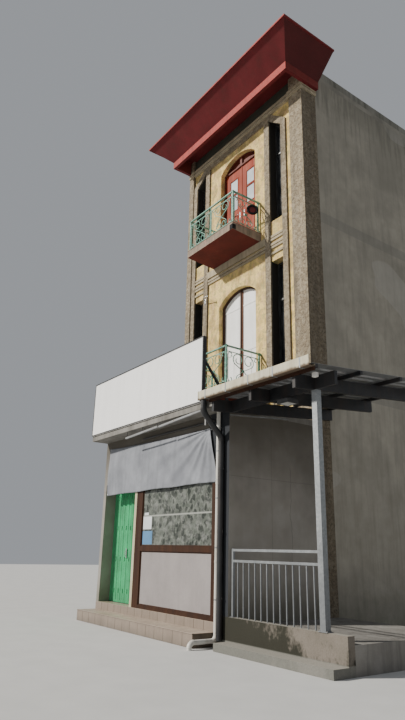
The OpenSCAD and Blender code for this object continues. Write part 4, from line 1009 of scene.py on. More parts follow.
def field_beads(shape, x, z, face, width, depth):
    """Bead round a rectangular field: four mitred lengths whose inner face slopes."""
    outer, middle, inner = (rectangle(x, z, width * share) for share in (0.0, 0.5, 1.0))
    back, lip = face - depth, face - depth * 0.35
    rings = [
        [(a[0], face, a[1]), (a[0], back, a[1]), (m[0], back, m[1]), (b[0], lip, b[1]),
         (b[0], face, b[1])]
        for a, m, b in zip(outer, middle, inner)]
    for i in range(4):
        shape.loft((rings[i], rings[(i + 1) % 4]))


def screw_head(radius, height):
    """Domed screw head that looks forward."""
    profile = [(radius, 0.0), (radius, height * 0.5), (radius * 0.7, height * 0.9), (0.0, height)]
    return Shape().lathe((0, 0, 0), FORWARD, profile, 8)


def bolt_head(radius, height, axis):
    """Hexagonal bolt head on a washer, looking along an axis."""
    washer = [(radius * 1.5, 0.0), (radius * 1.5, height * 0.25)]
    head = [(radius, height * 0.2), (radius, height), (radius * 0.8, height * 1.1)]
    return Shape().lathe((0, 0, 0), axis, washer, 12).lathe((0, 0, 0), axis, head, 6)


def angle_outline(leg, thick=0.003):
    """Outline of a steel angle."""
    return (0, 0), (leg, 0), (leg, thick), (thick, thick), (thick, leg), (0, leg)


def banner_point(s, t):
    """Point of the banner at the share s of its width and t of its height."""
    low, high = BANNER
    shop = settings().shopfront
    left = low.x + 0.005
    right = high.x + 0.005 - 0.225 * t
    top = high.z - 0.006 - 0.095 * s * s - shop.banner_sag * 4 * s * (1 - s)
    bottom = low.z + 0.008 + 0.012 * math.sin(math.pi * 3 * s) ** 2
    x = left + s * (right - left)
    z = bottom + t * (top - bottom)
    corner_x, corner_z = high.x - 0.22, high.z - 0.10
    away = math.hypot(corner_x - x, corner_z - z)
    turn = 19 * math.atan2(corner_z - z, corner_x - x + 1e-6) + 0.6
    ridge = math.sin(turn) + 0.3 * math.sin(2 * turn + 0.9)
    fold = shop.banner_fold
    fan = fold * ridge * math.exp(-away / 1.6) * min(1.0, away / 0.2)
    hang = 0.5 * fold * math.sin(9 * s + 2.2 * t) * (0.4 + 0.6 * (1 - t))
    swag = 0.6 * fold * math.sin(6.5 * (z + 0.35 * (x - 0.4) ** 2 / 4.0))
    billow = -0.008 * math.sin(math.pi * s) * math.sin(math.pi * t)
    y = (low.y + high.y) / 2 + fan + hang + swag + billow
    return Vector((x, min(max(y, low.y + 0.002), high.y - 0.004), z))


def closed_sheet(name, slot, place, columns, rows, thickness, width, height):
    """Thin closed sheet over a function of two shares, with its own UV map in metres."""
    mesh = bmesh.new()
    uv = mesh.loops.layers.uv.new("cloth")
    shares = {}
    sides = []
    for lift in (-thickness / 2, thickness / 2):
        side = []
        for j in range(rows + 1):
            for i in range(columns + 1):
                vert = mesh.verts.new(place(i / columns, j / rows) + Vector((0, lift, 0)))
                shares[vert] = (width * i / columns, height * j / rows)
                side.append(vert)
        sides.append(side)
    front, back = sides
    step = columns + 1
    for j in range(rows):
        for i in range(columns):
            a, b = j * step + i, (j + 1) * step + i
            mesh.faces.new((front[a], front[a + 1], front[b + 1], front[b]))
            mesh.faces.new((back[a], back[b], back[b + 1], back[a + 1]))
    rim = list(range(step))
    rim += [j * step + columns for j in range(1, rows + 1)]
    rim += [rows * step + i for i in range(columns - 1, -1, -1)]
    rim += [j * step for j in range(rows - 1, 0, -1)]
    for a, b in zip(rim, rim[1:] + rim[:1]):
        mesh.faces.new((front[b], front[a], back[a], back[b]))
    for face in mesh.faces:
        for loop in face.loops:
            loop[uv].uv = shares[loop.vert]
    bmesh.ops.recalc_face_normals(mesh, faces=mesh.faces)
    return link_piece(name, slot, mesh_data(name, mesh), True)


def rosette(shape, centre, outward):
    """Hammered flower on a railing: a domed boss inside a ring of petals."""
    facade = settings().facade
    centre, outward, up = Vector(centre), Vector(outward), Vector(UP)
    side = up.cross(outward)
    shape.lathe(centre, outward, [(0.015, 0.0), (0.014, 0.008), (0.009, 0.013), (0.0, 0.015)], 12)
    petal = ((0.2, 0.006, 0.004), (0.55, 0.012, 0.010), (0.85, 0.009, 0.007), (1.0, 0.002, 0.002))
    for i in range(facade.petals):
        turn = math.tau * (i + 0.5) / facade.petals
        along = side * math.cos(turn) + up * math.sin(turn)
        across = outward.cross(along)
        rings = []
        for share, half, lift in petal:
            middle = centre + along * facade.petal_length * share
            rings.append([
                middle + across * half, middle + outward * lift, middle - across * half, middle])
        shape.loft(rings)


def wall_flange(shape, centre, radius):
    """Round plate with a knob where a rail meets the wall."""
    profile = ((1.0, 0.0), (1.0, 0.006), (0.6, 0.012), (0.55, 0.02), (0.75, 0.032),
               (0.5, 0.044), (0.0, 0.048))
    shape.lathe(centre, FORWARD, [(radius * share, along) for share, along in profile], 14)


def pipe_clip(radius, height):
    """Band round an upright pipe, with a lug on its side."""
    middle = height / 2
    band = [(radius, 0.0), (radius + 0.003, 0.001), (radius + 0.003, height - 0.001),
            (radius, height)]
    clip = Shape().lathe((0, 0, -middle), UP, band, 28)
    return clip.box((radius, radius + 0.018), (-0.004, 0.004), (-middle, middle), 0.001)


# ---------------------------------------------------------------- operators


class SHOP_OT_dress_solids(bpy.types.Operator):
    """Give every solid of the frame the finish of its slot, and the steps the finish of the tile
    joints
    """

    bl_idname = "corner_shop.dress_solids"
    bl_label = "Dress the Solids"

    def execute(self, context):
        for name, solid in NODES.items():
            material = finish("tile_joint" if name == "steps" else NODE_SLOTS[name])
            if not solid.material_slots:
                solid.data.materials.append(material)
            for place in solid.material_slots:
                place.material = material
        return {"FINISHED"}


class SHOP_OT_hang_banner(bpy.types.Operator):
    """Hang the bare cloth banner in front of the shop, with its eyelets and ties"""

    bl_idname = "corner_shop.hang_banner"
    bl_label = "Banner"

    def execute(self, context):
        low, high = BANNER
        cloth = closed_sheet(
            "banner_sheet", "banner_cloth", banner_point, columns=150, rows=44, thickness=0.0016,
            width=high.x - low.x, height=high.z - low.z - 0.06)
        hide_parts("banner")
        eyelets = Shape()
        ring = [(0.013, 0.0), (0.013, 0.002), (0.010, 0.003), (0.006, 0.002), (0.006, 0.0)]
        for s in (0.006, 0.34, 0.67, 0.994):
            for t in (0.02, 0.98):
                eyelets.lathe(banner_point(s, t) + Vector((0, -0.0008, 0)), FORWARD, ring, 14)
        rings = eyelets.piece("banner_eyelets", "bright_steel", True)
        lines = []
        reach = 0.046
        turns = [math.pi - i * math.pi / 6 for i in range(9)]
        for t in (0.03, 0.97):
            start = banner_point(0.994, t)
            lines.append([start] + [
                (RAIN_PIPE[0] + reach * math.cos(turn), RAIN_PIPE[1] - reach * math.sin(turn),
                 start.z + 0.004 * math.cos(3 * turn)) for turn in turns])
        for t in (0.02, 0.98):
            start = banner_point(0.006, t)
            lines.append([start, start + Vector((-0.02, 0.012, 0.03)),
                          (start.x - 0.03, high.y, start.z + 0.05)])
        ties = bars("banner_ties", "bare_paper", lines, 0.0028, 6)
        return {"FINISHED"}


class SHOP_OT_trim_sign(bpy.types.Operator):
    """Edge the sign board, cover its seams and screw it on"""

    bl_idname = "corner_shop.trim_sign"
    bl_label = "Sign Trim"

    def execute(self, context):
        low, high = SIGN
        lip, proud, skin, fields = 0.024, 0.005, 0.004, 4
        front, inside = (low.y - proud, low.y), (low.x + lip, high.x - lip)
        edging = Shape()
        for x in ((low.x, low.x + lip), (high.x - lip, high.x + skin)):
            edging.box(x, front, (low.z, high.z), 0.0015)
        for z in ((low.z, low.z + lip), (high.z - lip, high.z + skin)):
            edging.box(inside, front, z, 0.0015)
        edging.box((high.x, high.x + skin), (low.y, high.y + 0.02), (low.z, high.z), 0.001)
        edging.piece("sign_edging", "dark_steel")
        seams = Shape()
        for i in range(1, fields):
            x = low.x + (high.x - low.x) * i / fields
            seams.box(about(x, 0.012), (low.y - 0.0012, low.y), (low.z + lip, high.z - lip),
                      0.0004)
        seams.piece("sign_seams", "sign_face")
        count = 15
        step = (high.x - low.x - lip) / (count - 1)
        start = (low.x + lip / 2, low.y - proud, low.z + lip / 2)
        in_rows("sign_screws", "bright_steel", screw_head(0.006, 0.004), start,
                count, (step, 0, 0), 2, (0, 0, high.z - low.z - lip), smooth=True)
        return {"FINISHED"}


class SHOP_OT_trim_roof_edge(bpy.types.Operator):
    """Fix the steel angles, the hangers, the banner's rod and the bracket at the roof's edge"""

    bl_idname = "corner_shop.trim_roof_edge"
    bl_label = "Roof Edge"

    def execute(self, context):
        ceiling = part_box("shop_roof")[0].z
        y = SIGN[1].y + 0.01
        left, right = Vector((-0.606, y, 3.746)), Vector((2.171, y, 3.872))
        angle = Shape()
        for shares, drop in (((0.0, 0.47), 0.0), ((0.485, 1.0), 0.012)):
            ends = [left.lerp(right, share) for share in shares]
            ends[0].z -= drop
            angle.loft([[(p.x, p.y + a, p.z + b) for a, b in angle_outline(0.034)] for p in ends])
        angle.piece("roof_edge_angle", "bright_steel")
        hangers = []
        for share in (0.02, 0.25, 0.46, 0.5, 0.75, 0.98):
            foot = left.lerp(right, share) + Vector((0, 0.012, 0))
            hangers.append([foot, (foot.x, foot.y, ceiling)])
        bars("roof_edge_hangers", "dark_steel", hangers, 0.005)
        rod_y = SHOP_FRONT[0].y - 0.03
        rod = [(-0.45, rod_y, 3.765), (2.12, rod_y, 3.757)]
        bars("banner_rod", "dark_steel", [rod], 0.021, 12)
        wall_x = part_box("shop_wall_right")[1].x
        Shape().loft([
            [(wall_x + a, y, z + b) for a, b in angle_outline(0.03)]
            for y, z in ((-2.19, 3.790), (-0.75, 3.918))]).piece("side_wall_angle", "bright_steel")
        bracket = Shape()
        for x, y in (((2.205, 2.245), (-2.515, -2.511)), ((2.205, 2.209), (-2.515, -2.475))):
            bracket.box(x, y, (3.62, ceiling), 0.001)
        bracket.piece("corner_bracket", "bright_steel")
        return {"FINISHED"}


class SHOP_OT_glaze_shop(bpy.types.Operator):
    """Set the beads round the shop window's fields, plug its screws and paste bare notices"""

    bl_idname = "corner_shop.glaze_shop"
    bl_label = "Shop Window"

    def execute(self, context):
        bead = settings().shopfront.bead
        glass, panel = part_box("shop_window_glass"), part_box("shop_window_panel")
        plug = [(0.012, 0), (0.012, 0.002), (0, 0.004)]
        beads, plugs = Shape(), Shape()
        for low, high in (glass, panel):
            field_beads(beads, (low.x, high.x), (low.z, high.z), low.y, bead, 0.016)
        beads.piece("shop_window_beads", "brown_timber")
        low, high = SHOP_FRONT
        for x in (low.x + 0.12, high.x - 0.05):
            for z in (low.z + 0.035, glass[0].z - 0.05, high.z - 0.05):
                plugs.lathe((x, low.y, z), FORWARD, plug, 12)
        plugs.piece("shop_window_plugs", "brown_timber", True)
        face, paper = glass[0].y, 0.0012
        notices = {
            "bare_paper": ((-0.36, 1.88, 0.33, 0.25), (-0.32, 2.16, 0.16, 0.05)),
            "blue_paper": ((-0.37, 1.585, 0.38, 0.26),),
        }
        for slot, places in notices.items():
            sheets = Shape()
            for x, z, width, height in places:
                sheets.box((x, x + width), (face - paper, face), (z, z + height), 0.0004)
            sheets.piece("notices_" + slot, slot)
        return {"FINISHED"}


class SHOP_OT_tile_steps(bpy.types.Operator):
    """Lay the beige tiles on the steps and the tiles' rounded nosing"""

    bl_idname = "corner_shop.tile_steps"
    bl_label = "Step Tiles"

    def execute(self, context):
        shop = settings().shopfront
        joint, thick = shop.tile_joint, 0.006
        left, right = STEPS[0].x, 2.17
        front_y, wall_y = STEPS[0].y, SHOP_FRONT[0].y
        tread_z, floor_z = 0.21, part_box("shop_floor")[1].z
        columns = max(1, round((right - left) / shop.tile_width))
        pitch = (right - left) / columns
        going = (wall_y - front_y) / 2

        def tiles(name, y, z, half_y, half_z, rows=1, row_step=UP):
            tile = Shape().box(about(0, (pitch - joint) / 2), about(0, half_y), about(0, half_z),
                               0.0015)
            in_rows("tiles_" + name, "step_tile", tile, (left + pitch / 2, y, z), columns,
                    (pitch, 0, 0), rows, row_step, 0.004)

        tiles("riser", front_y - thick / 2, tread_z / 2, thick / 2, (tread_z - joint) / 2)
        tiles("upper_riser", wall_y - thick / 2, (floor_z + tread_z) / 2, thick / 2,
              (floor_z - tread_z - joint) / 2)
        tiles("tread", front_y + going / 2, tread_z + thick / 2, (going - joint) / 2, thick / 2,
              2, (0, going, 0))
        outline = ((-0.012, 0.0), (-0.014, 0.006), (-0.012, 0.012), (-0.004, 0.0135),
                   (0.02, 0.0135), (0.02, 0.006), (0.0, 0.006), (0.0, 0.0))
        nosing = [(front_y + a, tread_z - 0.006 + b) for a, b in outline]
        Shape().section(nosing, (left + 0.004, right - 0.004)).piece("step_nosing", "step_tile")
        return {"FINISHED"}


class SHOP_OT_fit_shutter(bpy.types.Operator):
    """Fit the folding shutter's hinges, track, ribs and pull"""

    bl_idname = "corner_shop.fit_shutter"
    bl_label = "Folding Shutter"

    def execute(self, context):
        low, high = SHUTTER
        leaf_width = 0.095
        leaves = 2 * math.floor((high.x - low.x) / leaf_width / 2)
        pitch = 2 * (high.x - low.x) / leaves
        knuckle = Shape().lathe((0, 0, -0.045), UP, [
            (0.006, 0.0), (0.008, 0.003), (0.008, 0.028), (0.006, 0.03), (0.008, 0.032),
            (0.008, 0.058), (0.006, 0.06), (0.008, 0.062), (0.008, 0.087), (0.006, 0.09)], 10)
        start = (low.x + pitch, low.y - 0.004, low.z + 0.25)
        in_rows("shutter_hinges", "green_shutter", knuckle, start,
                leaves // 2 - 1, (pitch, 0, 0), 4, (0, 0, 0.66), smooth=True)
        track = Shape()
        for z in ((high.z - 0.045, high.z), (low.z, low.z + 0.012)):
            for y in ((low.y - 0.012, low.y - 0.008), (high.y + 0.004, high.y + 0.008)):
                track.box((low.x, high.x), y, z, 0.001)
        track.piece("shutter_track", "dark_steel")
        half = (high.z - low.z) / 2 - 0.06
        rib = Shape().box(about(0, 0.004), about(0, 0.003), about(0, half), 0.0015)
        start = (low.x + pitch / 4, (low.y + high.y - 0.012) / 2 - 0.002, (low.z + high.z) / 2)
        in_rows("shutter_ribs", "green_shutter", rib, start, leaves, (pitch / 2, 0, 0))
        x, y = low.x + pitch * (leaves // 4) + pitch / 4, low.y
        grip = ((0.01, 1.34), (-0.02, 1.355), (-0.024, 1.40), (-0.02, 1.445), (0.01, 1.46))
        pull = Shape().box(about(x, 0.02), (y + 0.008, y + 0.022), (1.30, 1.50), 0.002)
        pull.tube([(x, y + out, z) for out, z in grip], 0.006)
        pull.piece("shutter_pull", "bright_steel")
        return {"FINISHED"}


class SHOP_OT_ornament_railings(bpy.types.Operator):
    """Add petals, collars, post caps and wall knobs to the balcony railings"""

    bl_idname = "corner_shop.ornament_railings"
    bl_label = "Railing Ornaments"

    def execute(self, context):
        for name, (low, high) in RAILS.items():
            floor = SLABS[name][1].z
            front, side = low.y + 0.023, high.x - 0.023
            knot_z = 0.375
            half_field = (side - 0.016) / 2
            side_middle = (front - 0.072 + 0.02) / 2
            flowers, caps, collars = Shape(), Shape(), Shape()
            for x in (-half_field, half_field):
                for out in (-1, 1):
                    rosette(flowers, (x, front + out * 0.006, floor + knot_z), (0, out, 0))
            for end in (-side, side):
                for out in (-1, 1):
                    rosette(flowers, (end + out * 0.006, side_middle, floor + knot_z), (out, 0, 0))
            flowers.piece("rosettes_" + name, "green_iron")
            cap = ((0.020, 0.0), (0.022, 0.004), (0.022, 0.009), (0.012, 0.016), (0.002, 0.022))
            for end in (-side, side):
                for y in (front, -0.056):
                    caps.loft([
                        [(a, b, floor + 0.90 + z)
                         for a, b in rectangle(about(end, half), about(y, half))]
                        for half, z in cap])
                wall_flange(caps, (end, -0.001, floor + 0.886), 0.03)
                wall_flange(caps, (end, -0.001, floor + 0.067), 0.022)
            caps.piece("rail_caps_" + name, "green_iron", True)
            for z in (0.20, knot_z, 0.56):
                collars.box(about(0, 0.013), about(front, 0.013), about(floor + z, 0.012), 0.003)
            for x in (-half_field, half_field):
                for z in (0.078, 0.752):
                    for reach in (-0.026, 0.026):
                        collars.box(about(x + reach, 0.008), about(front, 0.011),
                                    about(floor + z, 0.014), 0.003)
            collars.piece("rail_collars_" + name, "green_iron")
        return {"FINISHED"}


class SHOP_OT_edge_balconies(bpy.types.Operator):
    """Lay the copings on the balcony slabs, with the dark block at their right front corner"""

    bl_idname = "corner_shop.edge_balconies"
    bl_label = "Balcony Slabs"

    def execute(self, context):
        for name, (low, high) in SLABS.items():
            floor, join_y = high.z, low.y + 0.06
            block = Shape().box((high.x - 0.105, high.x + 0.008), (low.y - 0.008, low.y + 0.10),
                                (floor - 0.185, floor - 0.055), 0.004)
            block.piece("slab_corner_" + name, "dark_rubber")
            lift = (floor - 0.012, floor + 0.003)
            coping = Shape()
            coping.box((low.x - 0.006, high.x + 0.006), (low.y - 0.006, join_y), lift, 0.003)
            for sign in (-1, 1):
                x = (sign * (high.x + 0.006), sign * (high.x - 0.05))
                coping.box(x, (join_y, -0.002), lift, 0.003)
            coping.piece("slab_coping_" + name, "balcony_stone")
        return {"FINISHED"}


class SHOP_OT_hang_ring(bpy.types.Operator):
    """Hang the dark ring with its red centre on the upper balcony's right side"""

    bl_idname = "corner_shop.hang_ring"
    bl_label = "Hung Ring"

    def execute(self, context):
        radius = settings().facade.ring / 2
        side, y = RAILS["upper"][1].x, -0.30
        centre = (side + 0.05, y, SLABS["upper"][1].z + 0.54)
        outward = (0.86, -0.5, 0.05)
        ring = ((0.62, 0.0), (0.97, 0.0), (1.0, 0.012), (0.97, 0.026), (0.8, 0.034),
                (0.64, 0.028), (0.60, 0.014), (0.58, 0.008))
        disc = ((0.59, 0.0), (0.59, 0.010), (0.45, 0.016), (0.12, 0.018), (0.0, 0.02))
        for name, slot, profile in (("hung_ring", "dark_rubber", ring),
                                    ("hung_ring_centre", "red_centre", disc)):
            profile = [(radius * share, along) for share, along in profile]
            Shape().lathe(centre, outward, profile, 36).piece(name, slot, True)
        low, top = centre[2] + radius * 0.9, centre[2] + radius
        hook = [(side - 0.02, y, low), (side - 0.004, y, top + 0.03),
                (side + 0.014, y, top + 0.02), (side + 0.016, y, low)]
        bars("hung_ring_hook", "dark_steel", [hook], 0.003)
        return {"FINISHED"}


class SHOP_OT_fit_balcony_doors(bpy.types.Operator):
    """Fit mouldings, fielded panels, the meeting bar, handles and hinges to the balcony doors"""

    bl_idname = "corner_shop.fit_balcony_doors"
    bl_label = "Balcony Doors"

    def execute(self, context):
        floor, lower_floor = SLABS["upper"][1].z, SLABS["lower"][1].z
        self.trim_leaves(floor)
        self.bead_arches(floor, floor - lower_floor)
        self.hang_leaves(floor)
        self.board_up(lower_floor)
        return {"FINISHED"}

    def trim_leaves(self, floor):
        """Mouldings round each leaf's fields, the fielded kick panel and the meeting bar."""
        width = settings().facade.door_moulding
        low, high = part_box("door_leaves_3")
        face, overlap = low.y, width * 0.6
        fields = ((0.18, 1.17), (1.35, 1.85), (1.895, 2.35))
        kick = (floor + fields[0][0] + 0.06, floor + fields[0][1] - 0.06)
        trim = Shape()
        inner, outer = 0.1853, 0.5047
        for x in ((-outer, -inner), (inner, outer)):
            around = (x[0] - overlap, x[1] + overlap)
            for z in fields:
                field_beads(trim, around, (floor + z[0] - overlap, floor + z[1] + overlap),
                            face + 0.001, width, 0.010)
            board = (x[0] + 0.05, x[1] - 0.05)
            trim.loft([
                [(a, face + back, b) for a, b in rectangle(board, kick, inset)]
                for back, inset in ((0.016, 0.0), (0.013, 0.0), (0.006, 0.025))])
        trim.box(about(0, 0.024), (face - 0.012, face), (low.z + 0.004, high.z - 0.004), 0.004)
        trim.piece("door_mouldings", "orange_timber")

    def bead_arches(self, floor, drop):
        """Two beads round the arched frame of each storey's door."""
        y = DOOR_FRAME[0].y
        radius, middle, half, count = 1.0382, floor + 1.8918, 0.73, 28
        upper = []
        for inset in (0.012, 0.034):
            r, edge = radius - inset, half - inset
            lift = math.asin(edge / r)
            turns = [math.pi / 2 + lift - 2 * lift * i / count for i in range(count + 1)]
            curve = [(r * math.cos(turn), y, middle + r * math.sin(turn)) for turn in turns]
            upper.append([(-edge, y, floor + 0.01), *curve, (edge, y, floor + 0.01)])
        bars("upper_arch_beads", "red_timber", upper, 0.007)
        lower = [[(x, y, z - drop) for x, y, z in line] for line in upper]
        bars("lower_arch_beads", "dark_timber", lower, 0.007)

    def hang_leaves(self, floor):
        """Handles and hinges of the glazed leaves."""
        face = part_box("door_leaves_3")[0].y
        handles, off = Shape(), 0.09
        for sign in (-1, 1):
            x, z = sign * off, floor + 1.12
            handles.box(about(x, 0.017), (face - 0.005, face), (floor + 0.98, floor + 1.20), 0.002)
            handles.tube([(x, face - 0.004, z), (x, face - 0.035, z),
                          (x + sign * 0.02, face - 0.044, z),
                          (x + sign * 0.11, face - 0.044, z - 0.005)], 0.007, 10)
        handles.piece("door_handles", "bright_steel", True)
        hinge = Shape().lathe((0, 0, -0.05), UP, [
            (0.004, -0.006), (0.007, 0.0), (0.007, 0.032), (0.006, 0.034), (0.007, 0.036),
            (0.007, 0.066), (0.006, 0.068), (0.007, 0.07), (0.007, 0.1), (0.004, 0.106)], 10)
        jamb = 0.69
        in_rows("door_hinges", "dark_steel", hinge, (-jamb, face - 0.004, floor + 0.25),
                2, (2 * jamb, 0, 0), 3, (0, 0, 1.05), smooth=True)

    def board_up(self, floor):
        """Cover strips, the middle post and the nails of the boarded lower door."""
        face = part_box("door_boards_2")[0].y
        strips = Shape()
        for sign in (-1, 1):
            for z in (1.22, 2.44):
                strips.box((sign * 0.054, sign * 0.685), (face - 0.010, face),
                           (floor + z, floor + z + 0.045), 0.002)
            strips.box(about(sign * 0.335, 0.018), (face - 0.008, face),
                       (floor + 0.03, floor + 1.215), 0.002)
        strips.piece("board_strips", "white_board")
        post = Shape().box(about(0, 0.052), (face - 0.022, face - 0.001),
                           (floor + 0.01, floor + 2.86), 0.004)
        post.piece("board_mullion", "mullion_timber")
        in_rows("board_nails", "dark_steel", screw_head(0.005, 0.003),
                (-0.64, face - 0.009, floor + 1.2425), 9, (0.16, 0, 0), 2, (0, 0, 1.22),
                smooth=True)


class SHOP_OT_fit_wall_bracket(bpy.types.Operator):
    """Fix the small bracket arm beside the lower balcony's left window"""

    bl_idname = "corner_shop.fit_wall_bracket"
    bl_label = "Wall Bracket"

    def execute(self, context):
        x, z = -1.31, 7.93
        tip = (x + 0.34, -0.22, z + 0.02)
        arm = Shape().box(about(x, 0.03), (-0.052, -0.045), about(z, 0.09), 0.002)
        arm.tube([(x, -0.048, z + 0.05), (x + 0.02, -0.13, z + 0.05), (x + 0.12, -0.20, z + 0.045),
                  tip], 0.011, 10)
        arm.tube([(x, -0.048, z - 0.06), (x + 0.03, -0.12, z - 0.02),
                  (x + 0.12, -0.19, z + 0.035)], 0.008)
        arm.lathe(tip, (0, 0, -1), [
            (0.008, -0.02), (0.02, -0.012), (0.024, 0.0), (0.016, 0.012), (0.022, 0.022),
            (0.018, 0.036), (0.0, 0.04)], 14)
        arm.piece("wall_bracket", "bright_steel", True)
        return {"FINISHED"}


class SHOP_OT_fit_canopy(bpy.types.Operator):
    """Fit the canopy's screws, gutter straps and sleeves, the posts' plates and a small fitting"""

    bl_idname = "corner_shop.fit_canopy"
    bl_label = "Canopy"

    def execute(self, context):
        low, high = GUTTER
        sheet_left, eaves_y, rise, rib_pitch = 2.53, -2.6, 0.09, 0.18
        rib_top = low.z + 0.045 + 0.030 + 0.004
        slope = math.atan(rise)
        upward = (0, -math.sin(slope), math.cos(slope))
        for i, run in enumerate((0.03, 1.02, 2.01, 3.0)):
            start = (sheet_left + rib_pitch / 2, eaves_y + run, rib_top + run * rise)
            in_rows("roof_screws_%d" % i, "bright_steel", bolt_head(0.007, 0.008, upward),
                    start, 13, (rib_pitch, 0, 0))
        straps, sleeves, plates = Shape(), Shape(), Shape()
        thick, first_strap, strap_pitch = 0.003, 0.22, 0.58
        for i in range(5):
            x = about(low.x + first_strap + i * strap_pitch, 0.013)
            front = low.y - thick
            straps.box(x, (front, low.y), (low.z - thick, high.z + thick), 0.001)
            straps.box(x, (low.y, high.y), (low.z - thick, low.z), 0.001)
            straps.box(x, (front, high.y), (high.z, high.z + thick), 0.001)
        straps.piece("gutter_straps", "grey_steel")
        for x, half in ((4.15, 0.035), (low.x + 0.012, 0.012), (high.x - 0.012, 0.012)):
            sleeves.box(about(x, half), (low.y - 0.004, low.y + 0.001),
                        (low.z - 0.004, high.z + 0.004), 0.0015)
            sleeves.box(about(x, half), (low.y, high.y), (low.z - 0.004, low.z), 0.0015)
        sleeves.piece("gutter_sleeves", "gutter_paint")
        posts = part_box("canopy_posts")
        x = (posts[0].x + posts[1].x) / 2
        wall_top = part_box("terrace_wall")[1].z
        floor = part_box("terrace_floor")[1].z
        plate, bolt_off = 0.008, 0.068
        for y, z in (((-2.212, -2.088), wall_top), ((0.295, 0.43), floor)):
            plates.box(about(x, 0.085), y, (z, z + plate), 0.002)
        plates.piece("post_plates", "grey_steel")
        in_rows("post_bolts", "bright_steel", bolt_head(0.008, 0.012, UP),
                (x - bolt_off, -2.195, wall_top + plate), 2, (2 * bolt_off, 0, 0),
                2, (0, 0.09, 0))
        fitting = Shape().box((4.87, 4.95), (-2.545, -2.48), (3.905, 3.975), 0.008)
        fitting.piece("small_fitting", "white_pipe")
        return {"FINISHED"}


class SHOP_OT_fit_terrace_railing(bpy.types.Operator):
    """Fit flanges, end caps, bolts and welds to the terrace railing"""

    bl_idname = "corner_shop.fit_terrace_railing"
    bl_label = "Terrace Railing"

    def execute(self, context):
        low, high = FENCE
        middle = (low.y + high.y) / 2
        tube_radius, plate, rail_gap = 0.019, 0.006, 0.17
        ends = (low.x + tube_radius, high.x - tube_radius)
        plate_top = low.z + plate
        flanges = Shape()
        for x in ends:
            flanges.box(about(x, 0.045), about(middle, 0.045), (low.z, plate_top), 0.0015)
            cap = [(0.018, 0.0), (0.018, 0.003), (0.012, 0.006), (0.0, 0.007)]
            flanges.lathe((x, middle, high.z), UP, cap, 16)
        flanges.piece("railing_flanges", "grey_steel")
        in_rows("railing_bolts", "bright_steel", bolt_head(0.005, 0.008, UP),
                (ends[0], middle - 0.033, plate_top), 2, (ends[1] - ends[0], 0, 0),
                2, (0, 0.066, 0))
        weld = Shape().lathe((0, 0, -0.006), UP, [
            (0.008, 0.0), (0.012, 0.003), (0.011, 0.008), (0.008, 0.012)], 8)
        count = 13
        pitch = (high.x - low.x) / (count + 1)
        bar_length = high.z - low.z - rail_gap - 2 * tube_radius - 2 * plate
        in_rows("railing_welds", "grey_steel", weld, (low.x + pitch, middle, plate_top),
                count, (pitch, 0, 0), 2, (0, 0, bar_length), smooth=True)
        return {"FINISHED"}


class SHOP_OT_fit_lamp(bpy.types.Operator):
    """Fit the floodlight's lens, rim and cooling ribs"""

    bl_idname = "corner_shop.fit_lamp"
    bl_label = "Floodlight"

    def execute(self, context):
        low, high = LAMP
        middle = (low + high) / 2
        lip, proud = 0.022, 0.004
        inside = (low.x + lip, high.x - lip)
        lens = Shape().box(inside, (low.y + lip, high.y - lip), (low.z - 0.003, low.z + 0.002),
                           0.001)
        lens.piece("lamp_lens", "lamp_lens")
        rim, depth = Shape(), (low.z - 0.007, low.z + 0.004)
        for x in ((low.x - proud, low.x + lip), (high.x - lip, high.x + proud)):
            rim.box(x, (low.y - proud, high.y + proud), depth, 0.002)
        for y in ((low.y - proud, low.y + lip), (high.y - lip, high.y + proud)):
            rim.box(inside, y, depth, 0.002)
        rim.piece("lamp_rim", "lamp_case")
        for side, x in (("left", low.x + 0.012), ("right", middle.x + 0.052)):
            rib = Shape().box(about(0, 0.0015), about(0, 0.09), (0.0, 0.014), 0.0005)
            in_rows("lamp_ribs_" + side, "lamp_case", rib, (x, middle.y, low.z + 0.060),
                    5, (0.0125, 0, 0))
        return {"FINISHED"}


class SHOP_OT_clip_pipes(bpy.types.Operator):
    """Clip the rain pipe, the drain pipe and the cable conduit to the walls"""

    bl_idname = "corner_shop.clip_pipes"
    bl_label = "Pipe Clips"

    def execute(self, context):
        clips = (
            ("rain_clips", "grey_steel", 0.0375, 0.02, (*RAIN_PIPE, 0.72), 4, 0.82),
            ("drain_clips", "dark_steel", 0.0525, 0.024, (*DRAIN_PIPE, 0.75), 3, 1.05),
            ("conduit_clips", "grey_steel", 0.015, 0.015, (*CONDUIT, 4.5), 7, 0.75),
        )
        for name, slot, radius, height, start, count, step in clips:
            in_rows(name, slot, pipe_clip(radius, height), start, count, (0, 0, step))
        return {"FINISHED"}


